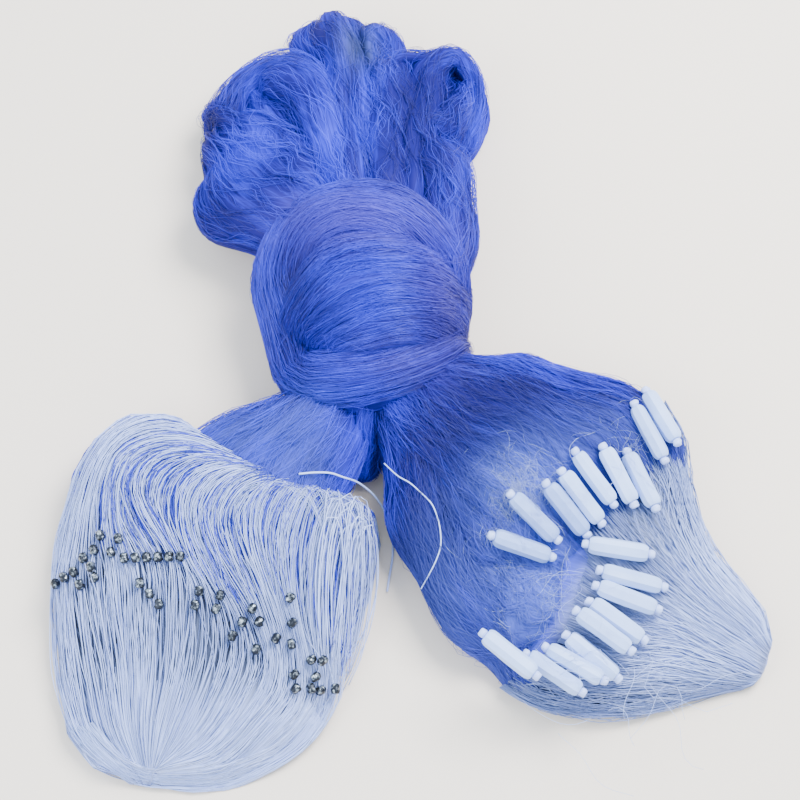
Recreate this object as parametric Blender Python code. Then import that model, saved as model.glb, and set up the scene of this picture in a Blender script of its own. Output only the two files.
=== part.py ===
"""A trammel net, drawn together into a bundle and tied once round itself.

The three nylon walls are one gathered mass: loops of netting stand above the knot and two legs spread
below it. The lead line hangs in a skein over the end of the left leg, the float line in a skein beyond
the end of the right leg, and the leads and foam floats lie on them.

Tables are in millimetres, measured on the ground from the middle of the knot, with +Y towards the
loops and +Z up. The model itself is in metres, and its origin is the middle of its outline.
"""

import math

import bpy
import numpy as np
from mathutils import Matrix, Vector
from mathutils.bvhtree import BVHTree

MM = 0.001

# The middle of the knot, from the middle of the whole outline.
KNOT_X = -29.0
KNOT_Y = 50.2

# Every piece keeps this distance from the next.
GAP = 0.35

# A lock is a gathered rope of netting, lofted from flattened round sections:
# the middle of each section x, y, z, half its width, half its height.
LOCKS = {
    "knot_core": [
        (-38, -16, 48, 46, 42),
        (-18, -8, 50, 70, 52),
        (12, -2, 50, 74, 54),
        (36, 2, 47, 54, 42),
    ],
    "upper_band": [
        (-66, 0, 20, 18, 16),
        (-66, 30, 50, 22, 18),
        (-50, 50, 72, 24, 18),
        (-14, 60, 86, 25, 18),
        (26, 50, 82, 25, 18),
        (52, 30, 56, 22, 18),
        (60, 6, 22, 18, 16),
    ],
    "main_band": [
        (-50, -50, 22, 26, 20),
        (-46, -36, 60, 42, 22),
        (-14, -22, 88, 50, 22),
        (28, -12, 82, 48, 22),
        (56, -6, 40, 40, 20),
    ],
    "lower_band": [
        (-50, -56, 18, 18, 18),
        (-28, -68, 44, 22, 18),
        (8, -66, 60, 24, 18),
        (42, -50, 50, 24, 18),
        (58, -34, 28, 20, 16),
    ],
    "head_base": [
        (4, 80, 34, 60, 36),
        (-8, 140, 27, 66, 29),
        (-12, 182, 23, 62, 25),
    ],
    "left_lobe": [
        (-20, 44, 42, 36, 44),
        (-54, 74, 42, 48, 45),
        (-86, 106, 38, 60, 41),
        (-104, 126, 33, 50, 36),
    ],
    "upper_left_loop": [
        (-16, 76, 44, 28, 38),
        (-34, 138, 44, 28, 36),
        (-54, 186, 38, 25, 34),
        (-80, 204, 31, 21, 31),
        (-102, 192, 27, 20, 28),
        (-112, 166, 26, 18, 27),
    ],
    "tuft": [
        (-8, 84, 46, 30, 40),
        (-15, 142, 40, 30, 38),
        (-21, 196, 34, 29, 34),
        (-21, 238, 27, 25, 29),
    ],
    "middle_lock": [
        (12, 86, 44, 32, 38),
        (14, 142, 38, 32, 38),
        (14, 190, 32, 27, 33),
    ],
    "right_curl": [
        (28, 96, 40, 26, 38),
        (34, 150, 38, 23, 36),
        (43, 192, 32, 17, 33),
        (62, 214, 28, 14, 29),
        (80, 204, 25, 14, 26),
        (86, 180, 23, 14, 24),
    ],
    "right_shoulder": [
        (40, 30, 38, 30, 40),
        (58, 60, 36, 26, 38),
        (54, 98, 36, 25, 38),
        (42, 134, 36, 25, 38),
    ],
    "left_leg": [
        (-24, -54, 40, 38, 42),
        (-46, -100, 37, 50, 39),
        (-80, -142, 32, 66, 34),
        (-110, -180, 26, 74, 28),
        (-130, -214, 20, 60, 22),
    ],
    "right_leg": [
        (22, -54, 40, 40, 42),
        (62, -90, 38, 64, 40),
        (104, -120, 34, 92, 36),
        (136, -152, 28, 114, 30),
        (152, -174, 22, 104, 24),
    ],
    "right_leg_edge": [
        (26, -62, 34, 26, 35),
        (44, -138, 33, 34, 34),
        (64, -206, 27, 34, 28),
        (88, -258, 20, 26, 22),
    ],
}
LOCK_SIDES = 16
LOCK_STEPS = 2
FLUTES = 4
FLUTE_DEPTH = 0.035

# The rounded end of a lock: one ring this far out and this wide, as shares of its half height and size.
END_RING_OUT = 0.78
END_RING_SIZE = 0.62

# The slab that trims the netting flat on the ground.
GROUND_SIZE = 1000.0
GROUND_DEPTH = 200.0

# A skein is a sheaf of parallel lines that lies on the ground and arches over whatever it covers.
# Each section: distance from its nose, sideways shift, half its width and its height.
SKEINS = {
    "lead_line_skein": {
        "nose": (-143, -366),
        "heading": 90.0,
        "covers": ["left_leg"],
        "sections": [
            (7, 6, 28, 12),
            (20, 7, 58, 22),
            (44, 13, 80, 33),
            (70, 21, 92, 40),
            (114, 26, 114, 51),
            (152, 30, 125, 61),
            (190, 33, 124, 68),
            (211, 31, 118, 72),
            (234, 2, 86, 73),
            (256, -17, 56, 68),
            (273, -22, 34, 56),
        ],
        "slope": 8.0,
    },
    "float_line_skein": {
        "nose": (296, -262),
        "heading": 152.0,
        "covers": ["right_leg", "right_leg_edge"],
        "sections": [
            (8, -10, 22, 18),
            (20, -9, 34, 24),
            (42, -13, 49, 32),
            (71, -20, 70, 39),
            (98, -15, 90, 45),
            (124, -2, 114, 48),
            (150, 8, 128, 46),
            (172, 13, 124, 40),
            (192, 10, 112, 30),
        ],
        "slope": 8.0,
    },
}
SKEIN_SIDES = 12
SKEIN_SHOULDER = 2.6

FLOAT_BODY = 43.0
FLOAT_NIB = 5.5
FLOAT_WIDTH = 12.5
FLOAT_CHAMFER = 3.0
FLOAT_TAPER = 3.0
FLOAT_TAPER_DEPTH = 1.8
NIB_RADIUS = 3.2
NIB_CROWN = 0.5

# The corner cut that makes a square bar eight-sided, as a share of its half height.
OCTAGON_CUT = 2.0 - math.sqrt(2.0)

# The steepest slope that a laid piece follows, as rise over run.
STEEPEST = 0.6

# Far above or below everything, in metres, where a plumb line starts.
WELL_CLEAR = 1.0

# Floats on their line: x, y and the heading of the bar.
FLOATS = [
    (200, -143, -66),
    (183, -141, -62),
    (165, -144, -52),
    (155, -159, -50),
    (144, -168, -48),
    (218, -90, -64),
    (208, -104, -64),
    (120, -175, -40),
    (111, -195, -15),
    (181, -197, -9),
    (190, -219, -14),
    (186, -233, -20),
    (178, -250, -35),
    (168, -259, -36),
    (160, -275, -39),
    (147, -282, -31),
    (132, -289, -33),
    (100, -279, -38),
]

LEAD_LENGTH = 7.6
LEAD_RADIUS = 3.2
LEAD_MOUTH_RADIUS = 2.0
LEAD_SHOULDER = 1.2
LEAD_CROWN = 0.2

# Leads sit close together in short runs on neighbouring lines:
# x and y of the first, the step to the next, how many.
LEAD_RUNS = [
    (-229, -217, 7.5, 2.5, 3),
    (-209, -222, 11.0, 4.0, 2),
    (-207, -203, 7.0, -9.0, 2),
    (-199, -198, 4.5, 10.0, 2),
    (-186, -201, 5.3, 9.5, 2),
    (-176, -206, 8.2, 0.0, 6),
    (-164, -224, 7.0, -7.5, 3),
    (-121, -230, -3.0, -10.0, 2),
    (-106, -233, -3.0, -9.5, 2),
    (-83, -242, -7.0, -9.5, 3),
    (-56, -234, 1.5, -17.0, 2),
    (-66, -262, 2.0, -10.5, 1),
    (-41, -275, 8.2, -1.0, 2),
    (-53, -286, 1.0, -9.5, 2),
    (-38, -286, 3.5, -8.0, 2),
]

# Round lines that lie loose: diameter, and a route from where each leaves the net: x, y, z.
LOOSE_LINES = {
    "loose_line": {
        "diameter": 1.5,
        "route": [
            (13.2, -213, 2.5),
            (15, -200, 2),
            (17, -187, 1.8),
            (17, -174, 2.5),
            (14, -161, 7),
            (10, -152, 15),
            (4, -146, 25),
            (-3, -143, 36),
            (-10, -142, 47),
            (-19, -142, 56),
            (-28, -141, 62),
            (-39, -142, 66),
            (-51, -144, 68.5),
        ],
    },
    "stray_line": {
        "diameter": 1.0,
        "route": [
            (11, -129, 50),
            (21, -142, 59),
            (30, -149, 62.8),
            (39, -158, 64),
            (46, -166, 64),
            (50, -176, 62.2),
            (52, -186, 60.6),
            (52, -196, 57.4),
            (49, -205, 54.8),
            (44, -214, 49),
            (38, -222, 38.5),
        ],
    },
}
LINE_STEPS = 12
LINE_SPACING = 2.4

NYLON_BLUE = (0.06, 0.12, 0.62, 1.0)
LINE_WHITE = (0.55, 0.62, 0.82, 1.0)
FOAM_WHITE = (0.75, 0.82, 0.92, 1.0)
LEAD_GREY = (0.16, 0.17, 0.18, 1.0)


def clear_scene():
    """Remove whatever the file opens with."""
    for item in list(bpy.data.objects):
        bpy.data.objects.remove(item, do_unlink=True)


def make_material(name, colour, roughness, metallic=0.0):
    """A plain finish with one colour."""
    material = bpy.data.materials.new(name)
    material.use_nodes = True
    shader = material.node_tree.nodes["Principled BSDF"]
    shader.inputs["Base Color"].default_value = colour
    shader.inputs["Roughness"].default_value = roughness
    shader.inputs["Metallic"].default_value = metallic
    return material


def smooth_rows(rows, steps):
    """Fill in a table's rows, column by column, with a curve through all of them."""
    rows = np.asarray(rows, dtype=float)
    padded = np.vstack([2 * rows[0] - rows[1], rows, 2 * rows[-1] - rows[-2]])
    filled = []
    for index in range(len(rows) - 1):
        before, start, end, after = padded[index:index + 4]
        for step in range(steps):
            t = step / steps
            filled.append(
                0.5 * (2 * start + (end - before) * t
                       + (2 * before - 5 * start + 4 * end - after) * t ** 2
                       + (3 * start - before - 3 * end + after) * t ** 3)
            )
    filled.append(rows[-1])
    return np.array(filled)


def ring_mesh(name, rings, start_pole, end_pole):
    """A closed skin over a stack of rings, drawn to a point at each end."""
    count, sides = rings.shape[:2]
    points = [tuple(p * MM) for p in rings.reshape(-1, 3)]
    points += [tuple(start_pole * MM), tuple(end_pole * MM)]
    first_pole = count * sides
    faces = []
    for ring in range(count - 1):
        for side in range(sides):
            a = ring * sides + side
            b = ring * sides + (side + 1) % sides
            faces.append((a, b, b + sides))
            faces.append((a, b + sides, a + sides))
    for side in range(sides):
        following = (side + 1) % sides
        faces.append((following, side, first_pole))
        last = (count - 1) * sides
        faces.append((last + side, last + following, first_pole + 1))
    mesh = bpy.data.meshes.new(name)
    mesh.from_pydata(points, [], faces)
    mesh.validate()
    return mesh


def add_object(name, mesh, material=None):
    """Put a mesh in the scene under a name."""
    item = bpy.data.objects.new(name, mesh)
    bpy.context.collection.objects.link(item)
    if material:
        mesh.materials.append(material)
    return item


def make_cutter(name, mesh):
    """An object that only shapes others."""
    cutter = add_object(name, mesh)
    cutter.hide_render = True
    cutter.display_type = "WIRE"
    return cutter


def combine(item, other, operation):
    """Join, cut or trim an object with another."""
    modifier = item.modifiers.new(f"{operation.lower()}_{other.name}", "BOOLEAN")
    modifier.operation = operation
    modifier.solver = "EXACT"
    modifier.use_self = True
    modifier.object = other


def lock_mesh(name, rows, grow=0.0):
    """A fluted, flattened rope of netting along its rows, with rounded ends."""
    sections = smooth_rows(rows, LOCK_STEPS)
    middle = sections[:, :3] + (KNOT_X, KNOT_Y, 0.0)
    half_width = sections[:, 3] + grow
    half_height = sections[:, 4] + grow
    along = np.gradient(middle, axis=0)
    along /= np.linalg.norm(along, axis=1)[:, None]
    flat = along * (1.0, 1.0, 0.0)
    flat /= np.linalg.norm(flat, axis=1)[:, None]
    across = np.cross(flat, (0.0, 0.0, 1.0))
    upward = np.cross(across, along)
    angle = -np.arange(LOCK_SIDES) * 2 * math.pi / LOCK_SIDES
    flute = 1.0 - FLUTE_DEPTH * (1.0 - np.cos(FLUTES * angle))

    def section(index, scale, shift):
        side = np.cos(angle) * flute * half_width[index] * scale
        rise = np.sin(angle) * flute * half_height[index] * scale
        centre = middle[index] + along[index] * shift
        return centre + side[:, None] * across[index] + rise[:, None] * upward[index]

    last = len(sections) - 1
    round_start = half_height[0]
    round_end = half_height[last]
    rings = [section(0, END_RING_SIZE, -END_RING_OUT * round_start)]
    rings += [section(index, 1.0, 0.0) for index in range(len(sections))]
    rings += [section(last, END_RING_SIZE, END_RING_OUT * round_end)]
    start_pole = middle[0] - along[0] * round_start
    end_pole = middle[last] + along[last] * round_end
    return ring_mesh(name, np.array(rings), start_pole, end_pole)


def netting(material):
    """All the locks in one mass, cut flat where it lies on the ground."""
    first, *others = LOCKS
    body = add_object("netting", lock_mesh("netting", LOCKS[first]), material)
    for name in others:
        combine(body, make_cutter(f"lock_{name}", lock_mesh(name, LOCKS[name])), "UNION")
    combine(body, ground_cutter(), "DIFFERENCE")
    return body


def ground_cutter():
    """A slab just below the ground, wider than the net."""
    half = GROUND_SIZE / 2
    rings = np.array([
        [(-half, -half, z), (half, -half, z), (half, half, z), (-half, half, z)]
        for z in (-GROUND_DEPTH, 0.0)
    ])
    slab = ring_mesh("ground", rings, np.array((0.0, 0.0, -GROUND_DEPTH)), np.zeros(3))
    return make_cutter("ground", slab)


def skein(name, form, material):
    """A sheaf of line: flat below, rounded above, hollowed where the netting runs under it."""
    sections = smooth_rows(form["sections"], LOCK_STEPS)
    heading = math.radians(form["heading"])
    along = np.array((math.cos(heading), math.sin(heading), 0.0))
    right = np.array((math.sin(heading), -math.cos(heading), 0.0))
    nose = np.array((form["nose"][0] + KNOT_X, form["nose"][1] + KNOT_Y, 0.0))
    angle = np.linspace(math.pi, 0.0, SKEIN_SIDES)
    power = 2.0 / SKEIN_SHOULDER
    side = np.sign(np.cos(angle)) * np.abs(np.cos(angle)) ** power
    rise = np.abs(np.sin(angle)) ** power
    rise[[0, -1]] = 0.0
    rings = []
    for run, shift, half_width, height in sections:
        centre = nose + along * run + right * shift
        arch = np.outer(rise * height, (0.0, 0.0, 1.0))
        rings.append(centre + np.outer(side * half_width, right) + arch)
    rings = np.array(rings)
    start = nose + along * (sections[0][0] - form["slope"])
    end = nose + along * (sections[-1][0] + form["slope"]) + right * sections[-1][1]
    body = add_object(name, ring_mesh(name, rings, start, end), material)
    for covered in form["covers"]:
        under = lock_mesh(f"{covered}_hollow", LOCKS[covered], grow=GAP)
        combine(body, make_cutter(f"{covered}_hollow", under), "DIFFERENCE")
    return body


def bar_rings(stations):
    """Eight-sided rings along X; each station is place, half height and corner cut."""
    rings = []
    for place, half, cut in stations:
        inner = half - cut
        rings.append([
            (place, y, z) for y, z in (
                (half, inner), (inner, half), (-inner, half), (-half, inner),
                (-half, -inner), (-inner, -half), (inner, -half), (half, -inner),
            )
        ])
    return np.array(rings, dtype=float)


def float_mesh():
    """A square foam bar with eased edges and a round nib at each end."""
    half = FLOAT_WIDTH / 2
    body = FLOAT_BODY / 2
    tip = body + FLOAT_NIB
    nib_cut = NIB_RADIUS * OCTAGON_CUT
    ends = [
        (tip, NIB_RADIUS, nib_cut),
        (body, NIB_RADIUS, nib_cut),
        (body - NIB_CROWN, half - FLOAT_TAPER_DEPTH, FLOAT_CHAMFER),
        (body - NIB_CROWN - FLOAT_TAPER, half, FLOAT_CHAMFER),
    ]
    stations = [(-place, size, cut) for place, size, cut in ends]
    stations += list(reversed(ends))
    pole = np.array((tip + NIB_CROWN, 0.0, 0.0))
    return ring_mesh("float", bar_rings(stations), -pole, pole)


def lead_mesh():
    """A small crimped barrel."""
    half = LEAD_LENGTH / 2
    ends = [
        (half, LEAD_MOUTH_RADIUS),
        (half - LEAD_SHOULDER, LEAD_RADIUS),
    ]
    stations = [(-place, size, size * OCTAGON_CUT) for place, size in ends]
    stations += [(place, size, size * OCTAGON_CUT) for place, size in reversed(ends)]
    pole = np.array((half + LEAD_CROWN, 0.0, 0.0))
    return ring_mesh("lead", bar_rings(stations), -pole, pole)


class Ground:
    """What a dropped piece can come to rest on: its surfaces and their corners."""

    def __init__(self):
        self.surfaces = []

    def add(self, item):
        """Count an object, as its modifiers leave it, as something to rest on."""
        graph = bpy.context.evaluated_depsgraph_get()
        shown = item.evaluated_get(graph)
        mesh = shown.to_mesh()
        corners = np.array([item.matrix_world @ v.co for v in mesh.vertices])
        faces = [tuple(p.vertices) for p in mesh.polygons]
        self.surfaces.append((BVHTree.FromPolygons(corners.tolist(), faces), corners))
        shown.to_mesh_clear()

    def near(self, place, reach):
        """The part of the ground that lies within reach of a place."""
        found = Ground()
        for tree, corners in self.surfaces:
            low = corners.min(axis=0)[:2] - reach
            high = corners.max(axis=0)[:2] + reach
            if (low < place.xy).all() and (high > place.xy).all():
                found.surfaces.append((tree, corners))
        return found

    def height(self, x, y):
        """The highest surface over a place on the ground."""
        top = 0.0
        for tree, _ in self.surfaces:
            hit = tree.ray_cast(Vector((x, y, WELL_CLEAR)), Vector((0.0, 0.0, -1.0)))[0]
            if hit:
                top = max(top, hit.z)
        return top

    def lean(self, place, turn, half_length, half_width):
        """The turn about Z, then the tilt, that lay a bar along the plane that best fits below it."""
        ahead = Vector((math.cos(turn), math.sin(turn), 0.0))
        left = Vector((-math.sin(turn), math.cos(turn), 0.0))
        rows = []
        heights = []
        for along in np.linspace(-1.0, 1.0, 5) * half_length:
            for across in np.linspace(-1.0, 1.0, 3) * half_width:
                spot = place + ahead * along + left * across
                rows.append((along, across, 1.0))
                heights.append(self.height(spot.x, spot.y))
        rise, side_rise, _ = np.linalg.lstsq(np.array(rows), np.array(heights), rcond=None)[0]
        pitch = math.atan(max(-STEEPEST, min(STEEPEST, rise)))
        roll = math.atan(max(-STEEPEST, min(STEEPEST, side_rise)))
        return (Matrix.Rotation(turn, 3, "Z")
                @ Matrix.Rotation(-pitch, 3, "Y")
                @ Matrix.Rotation(roll, 3, "X"))


def resting_height(mesh, turned, place, ground):
    """How high a turned mesh stands so that it just clears the ground everywhere."""
    corners = [turned @ v.co + place for v in mesh.vertices]
    samples = list(corners)
    for edge in mesh.edges:
        a, b = (corners[i] for i in edge.vertices)
        samples += [a.lerp(b, t) for t in (0.25, 0.5, 0.75)]
    rise = max(ground.height(p.x, p.y) - p.z for p in samples)
    tree = BVHTree.FromPolygons(corners, [tuple(p.vertices) for p in mesh.polygons])
    reach = max((c - place).length for c in corners)
    for _, spots in ground.surfaces:
        close = np.linalg.norm(spots[:, :2] - np.array(place.xy), axis=1) < reach
        for spot in spots[close]:
            hit = tree.ray_cast(Vector((spot[0], spot[1], -WELL_CLEAR)), Vector((0.0, 0.0, 1.0)))[0]
            if hit:
                rise = max(rise, spot[2] - hit.z)
    return rise + GAP * MM


def lay_down(item, x, y, heading, size, ground):
    """Lay a bar on what is below it."""
    place = Vector(((x + KNOT_X) * MM, (y + KNOT_Y) * MM, 0.0))
    half_length, half_width = (0.5 * side * MM for side in size)
    below = ground.near(place, half_length + half_width)
    turned = below.lean(place, math.radians(heading), half_length, half_width)
    place.z = resting_height(item.data, turned, place, below)
    item.location = place
    item.rotation_euler = turned.to_euler()
    bpy.context.view_layer.update()
    ground.add(item)


def floats(material, ground):
    """The foam floats, laid one after another."""
    mesh = float_mesh()
    mesh.materials.append(material)
    for index, (x, y, heading) in enumerate(FLOATS, start=1):
        item = add_object(f"float_{index:02d}", mesh)
        lay_down(item, x, y, heading, (FLOAT_BODY, FLOAT_WIDTH), ground)


def leads(material, ground):
    """The leads, each pointing along its line to the nose of the skein."""
    mesh = lead_mesh()
    mesh.materials.append(material)
    nose = Vector(SKEINS["lead_line_skein"]["nose"])
    number = 0
    for x, y, step_x, step_y, count in LEAD_RUNS:
        for index in range(count):
            number += 1
            place = Vector((x + index * step_x, y + index * step_y))
            away = place - nose
            heading = math.degrees(math.atan2(away.y, away.x))
            item = add_object(f"lead_{number:02d}", mesh)
            lay_down(item, place.x, place.y, heading, (LEAD_LENGTH, 2 * LEAD_RADIUS), ground)


def loose_line(name, form, material):
    """A round line along an even, smooth curve through its route."""
    fine = smooth_rows(form["route"], LINE_STEPS) + (KNOT_X, KNOT_Y, 0.0)
    run = np.concatenate([[0.0], np.cumsum(np.linalg.norm(np.diff(fine, axis=0), axis=1))])
    count = int(run[-1] / (LINE_SPACING * form["diameter"])) + 1
    even = np.linspace(0.0, run[-1], count)
    places = np.stack([np.interp(even, run, fine[:, axis]) for axis in range(3)], axis=1)
    curve = bpy.data.curves.new(name, "CURVE")
    curve.dimensions = "3D"
    curve.bevel_depth = form["diameter"] / 2 * MM
    curve.bevel_resolution = 2
    curve.use_fill_caps = True
    spline = curve.splines.new("POLY")
    spline.points.add(count - 1)
    for point, place in zip(spline.points, places):
        point.co = (*(place * MM), 1.0)
    add_object(name, curve, material)


def main():
    """Build every piece."""
    clear_scene()
    blue = make_material("nylon netting", NYLON_BLUE, 0.45)
    white = make_material("braided line", LINE_WHITE, 0.5)
    foam = make_material("float foam", FOAM_WHITE, 0.6)
    lead = make_material("lead", LEAD_GREY, 0.4, metallic=0.9)
    ground = Ground()
    soft = [netting(blue)]
    soft += [skein(name, form, white) for name, form in SKEINS.items()]
    bpy.context.view_layer.update()
    for item in soft:
        ground.add(item)
    floats(foam, ground)
    leads(lead, ground)
    for name, form in LOOSE_LINES.items():
        loose_line(name, form, white)


main()
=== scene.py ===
"""A trammel net tied in a bundle: gathered blue netting, its lead line and its float line.

It is laid out as a Blender add-on and run as a script. Tables are in millimetres from the middle of
the knot on the ground, with +Y towards the loops above the knot and +Z up. Meshes are in metres.
"""

import math
from collections import namedtuple

import bpy
import numpy as np
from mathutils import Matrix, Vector


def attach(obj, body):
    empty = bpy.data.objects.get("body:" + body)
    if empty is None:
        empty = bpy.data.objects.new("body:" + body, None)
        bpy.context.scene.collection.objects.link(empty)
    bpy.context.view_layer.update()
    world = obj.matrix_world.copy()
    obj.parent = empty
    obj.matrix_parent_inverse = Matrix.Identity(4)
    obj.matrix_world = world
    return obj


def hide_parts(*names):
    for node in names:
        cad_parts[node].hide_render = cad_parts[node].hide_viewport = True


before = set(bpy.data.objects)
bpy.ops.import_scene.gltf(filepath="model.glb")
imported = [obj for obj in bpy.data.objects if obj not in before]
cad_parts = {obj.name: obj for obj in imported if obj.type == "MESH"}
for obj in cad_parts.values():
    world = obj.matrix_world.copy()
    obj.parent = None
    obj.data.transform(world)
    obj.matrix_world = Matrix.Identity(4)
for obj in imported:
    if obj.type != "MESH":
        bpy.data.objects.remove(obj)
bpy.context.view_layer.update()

bl_info = {
    "name": "Trammel Net",
    "version": (1, 0, 0),
    "blender": (4, 5, 0),
    "location": "View3D > Sidebar > Net",
    "description": "Dresses a tied trammel net with strands, lines, leads and floats",
    "category": "Object",
}

MM = 0.001
BODY = "root"

# The middle of the knot, from the middle of the whole outline.
KNOT = np.array((-29.0, 50.2, 0.0))

# A lock is a gathered rope of netting. A section has its middle x, y, z, half its width and half its
# height.
LOCKS = {
    "knot_core": [
        (-28, -14, 46, 42, 38), (-14, -8, 50, 66, 50), (12, -2, 50, 70, 52), (28, 2, 45, 48, 38),
    ],
    "wrap": [
        (60, 6, 22, 18, 16), (52, 30, 56, 22, 18), (26, 50, 82, 25, 18), (-14, 60, 86, 25, 18),
        (-50, 48, 74, 24, 18), (-66, 18, 58, 22, 20), (-62, -10, 50, 24, 22), (-55, -36, 46, 24, 22),
        (-46, -58, 48, 26, 22), (-22, -64, 62, 28, 20), (10, -62, 68, 28, 20), (42, -48, 58, 26, 20),
        (60, -32, 30, 20, 16),
    ],
    "main_band": [
        (-52, -32, 40, 22, 18), (-40, -20, 64, 36, 22), (-12, -10, 88, 48, 22), (28, -4, 84, 46, 22),
        (56, -2, 42, 40, 20), (62, -2, 14, 36, 16),
    ],
    "head_base": [(4, 80, 34, 60, 36), (-8, 140, 27, 66, 29), (-12, 182, 23, 62, 25)],
    "left_lobe": [
        (-20, 44, 42, 36, 44), (-54, 74, 42, 48, 45), (-85, 108, 38, 57, 41), (-99, 131, 33, 42, 36),
    ],
    "upper_left_loop": [
        (-16, 76, 44, 28, 38), (-34, 138, 44, 28, 36), (-54, 186, 38, 25, 34), (-80, 204, 31, 21, 31),
        (-102, 192, 27, 20, 28), (-112, 166, 26, 18, 27),
    ],
    "lobe_tip": [(-84, 116, 34, 30, 36), (-104, 146, 30, 24, 32), (-116, 164, 26, 16, 26)],
    "loop_heart": [(-42, 128, 32, 26, 32), (-64, 158, 32, 26, 32), (-80, 178, 28, 20, 27)],
    "crown": [(-30, 150, 32, 22, 30), (-42, 188, 30, 20, 28), (-48, 206, 26, 14, 22)],
    "tuft": [
        (-8, 84, 46, 30, 40), (-15, 142, 40, 30, 38), (-21, 196, 34, 29, 34), (-31, 243, 27, 34, 25),
    ],
    "tuft_side": [(4, 170, 30, 20, 28), (6, 206, 26, 22, 24), (2, 240, 24, 23, 20)],
    "middle_lock": [(12, 86, 44, 32, 38), (14, 142, 38, 32, 38), (14, 190, 32, 27, 33)],
    "right_curl": [
        (28, 96, 40, 26, 38), (34, 150, 38, 23, 36), (43, 192, 32, 17, 33), (62, 214, 28, 14, 29),
        (78, 203, 25, 14, 26), (81, 180, 23, 14, 24), (70, 158, 20, 14, 22),
    ],
    "curl_top": [(6, 188, 30, 22, 28), (24, 211, 28, 18, 25), (45, 214, 28, 15, 25)],
    "curl_heart": [(34, 144, 32, 24, 32), (58, 168, 30, 24, 30), (66, 188, 26, 16, 25)],
    "right_shoulder": [
        (40, 30, 38, 30, 40), (58, 60, 36, 26, 38), (54, 98, 36, 25, 38), (42, 134, 36, 25, 38),
    ],
    "left_leg": [
        (-20, -70, 26, 30, 27), (-46, -106, 34, 48, 37), (-80, -142, 32, 66, 34),
        (-110, -180, 26, 74, 28), (-130, -214, 20, 60, 22),
    ],
    "right_leg": [
        (22, -54, 32, 38, 34), (60, -88, 34, 62, 37), (104, -120, 34, 92, 36), (136, -152, 28, 114, 30),
        (152, -174, 22, 104, 24),
    ],
    "between_legs": [
        (-2, -56, 42, 20, 30), (-4, -84, 34, 18, 28), (-5, -104, 23, 16, 20), (-6, -118, 16, 13, 13),
    ],
    "leg_hem": [(70, -176, 27, 34, 26), (102, -206, 23, 46, 24), (128, -230, 19, 44, 22)],
    "right_leg_edge": [
        (26, -62, 34, 26, 35), (44, -138, 31, 34, 31), (64, -206, 27, 34, 28), (101, -253, 18, 24, 20),
        (113, -279, 12, 17, 14),
    ],
}

# How the strands lie on each lock: how many, the arc they cover in degrees from its right side over
# its top, how many tufts they gather in, how much the tufts differ in height, the share of its length
# that a strand covers, how far it frays and over what length, how far it slants in degrees, how many
# turns it makes along the lock, and how many points it has.
COMBING = {
    "knot_core": (120, 0, 60, 10, 0.8, 0.80, 0.8, 20, 2, 0.02, 11),
    "wrap": (1500, 2, 178, 34, 0.7, 0.36, 0.6, 20, 3, 0.10, 11),
    "main_band": (1150, 2, 178, 46, 0.7, 0.62, 0.6, 20, 4, 0.06, 11),
    "head_base": (200, 5, 175, 16, 1.8, 0.30, 2.0, 14, 4, 0.05, 12),
    "left_lobe": (700, 0, 180, 26, 2.4, 0.30, 2.2, 13, 4, 0.10, 12),
    "lobe_tip": (200, 0, 180, 12, 2.4, 0.44, 2.2, 13, 5, 0.10, 12),
    "upper_left_loop": (420, 0, 180, 18, 2.0, 0.26, 1.8, 14, 4, 0.16, 12),
    "loop_heart": (240, 0, 180, 14, 1.0, 0.50, 0.8, 20, 3, 0.10, 12),
    "crown": (220, 0, 180, 12, 2.2, 0.34, 2.0, 13, 5, 0.10, 12),
    "tuft": (340, 5, 175, 16, 2.2, 0.30, 2.0, 13, 4, 0.10, 12),
    "tuft_side": (180, 5, 175, 10, 2.0, 0.44, 2.0, 13, 5, 0.10, 12),
    "middle_lock": (320, 5, 175, 14, 2.4, 0.32, 2.4, 13, 4, 0.12, 12),
    "right_curl": (320, 0, 180, 14, 2.0, 0.24, 2.0, 13, 5, 0.18, 12),
    "curl_top": (140, 0, 180, 10, 2.0, 0.50, 2.0, 13, 6, 0.10, 12),
    "curl_heart": (200, 0, 180, 12, 2.0, 0.40, 2.4, 12, 8, 0.10, 12),
    "right_shoulder": (300, -5, 150, 14, 2.4, 0.32, 2.2, 13, 5, 0.12, 12),
    "left_leg": (620, 5, 175, 30, 1.6, 0.40, 1.8, 14, 9, 0.02, 9),
    "between_legs": (170, 10, 170, 10, 1.2, 0.50, 1.2, 14, 6, 0.02, 9),
    "right_leg": (2200, 4, 176, 60, 2.0, 0.30, 2.0, 12, 11, 0.02, 9),
    "leg_hem": (520, 5, 175, 22, 1.8, 0.40, 2.4, 12, 14, 0.03, 9),
    "right_leg_edge": (800, 0, 180, 26, 1.6, 0.34, 1.8, 12, 10, 0.03, 9),
}

# By group of locks: how far their skins swell and sink, how thick their strands are as a share of the
# usual, and how many loose hairs cross each.
LUMPS = {"knot": 1.2, "loops": 3.4, "left_leg": 2.0, "right_leg": 2.2}
FINENESS = {"knot": 0.88, "loops": 0.94, "left_leg": 0.9, "right_leg": 0.84}
FLYAWAYS = {"knot": 50, "loops": 36, "left_leg": 120, "right_leg": 160}

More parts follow.
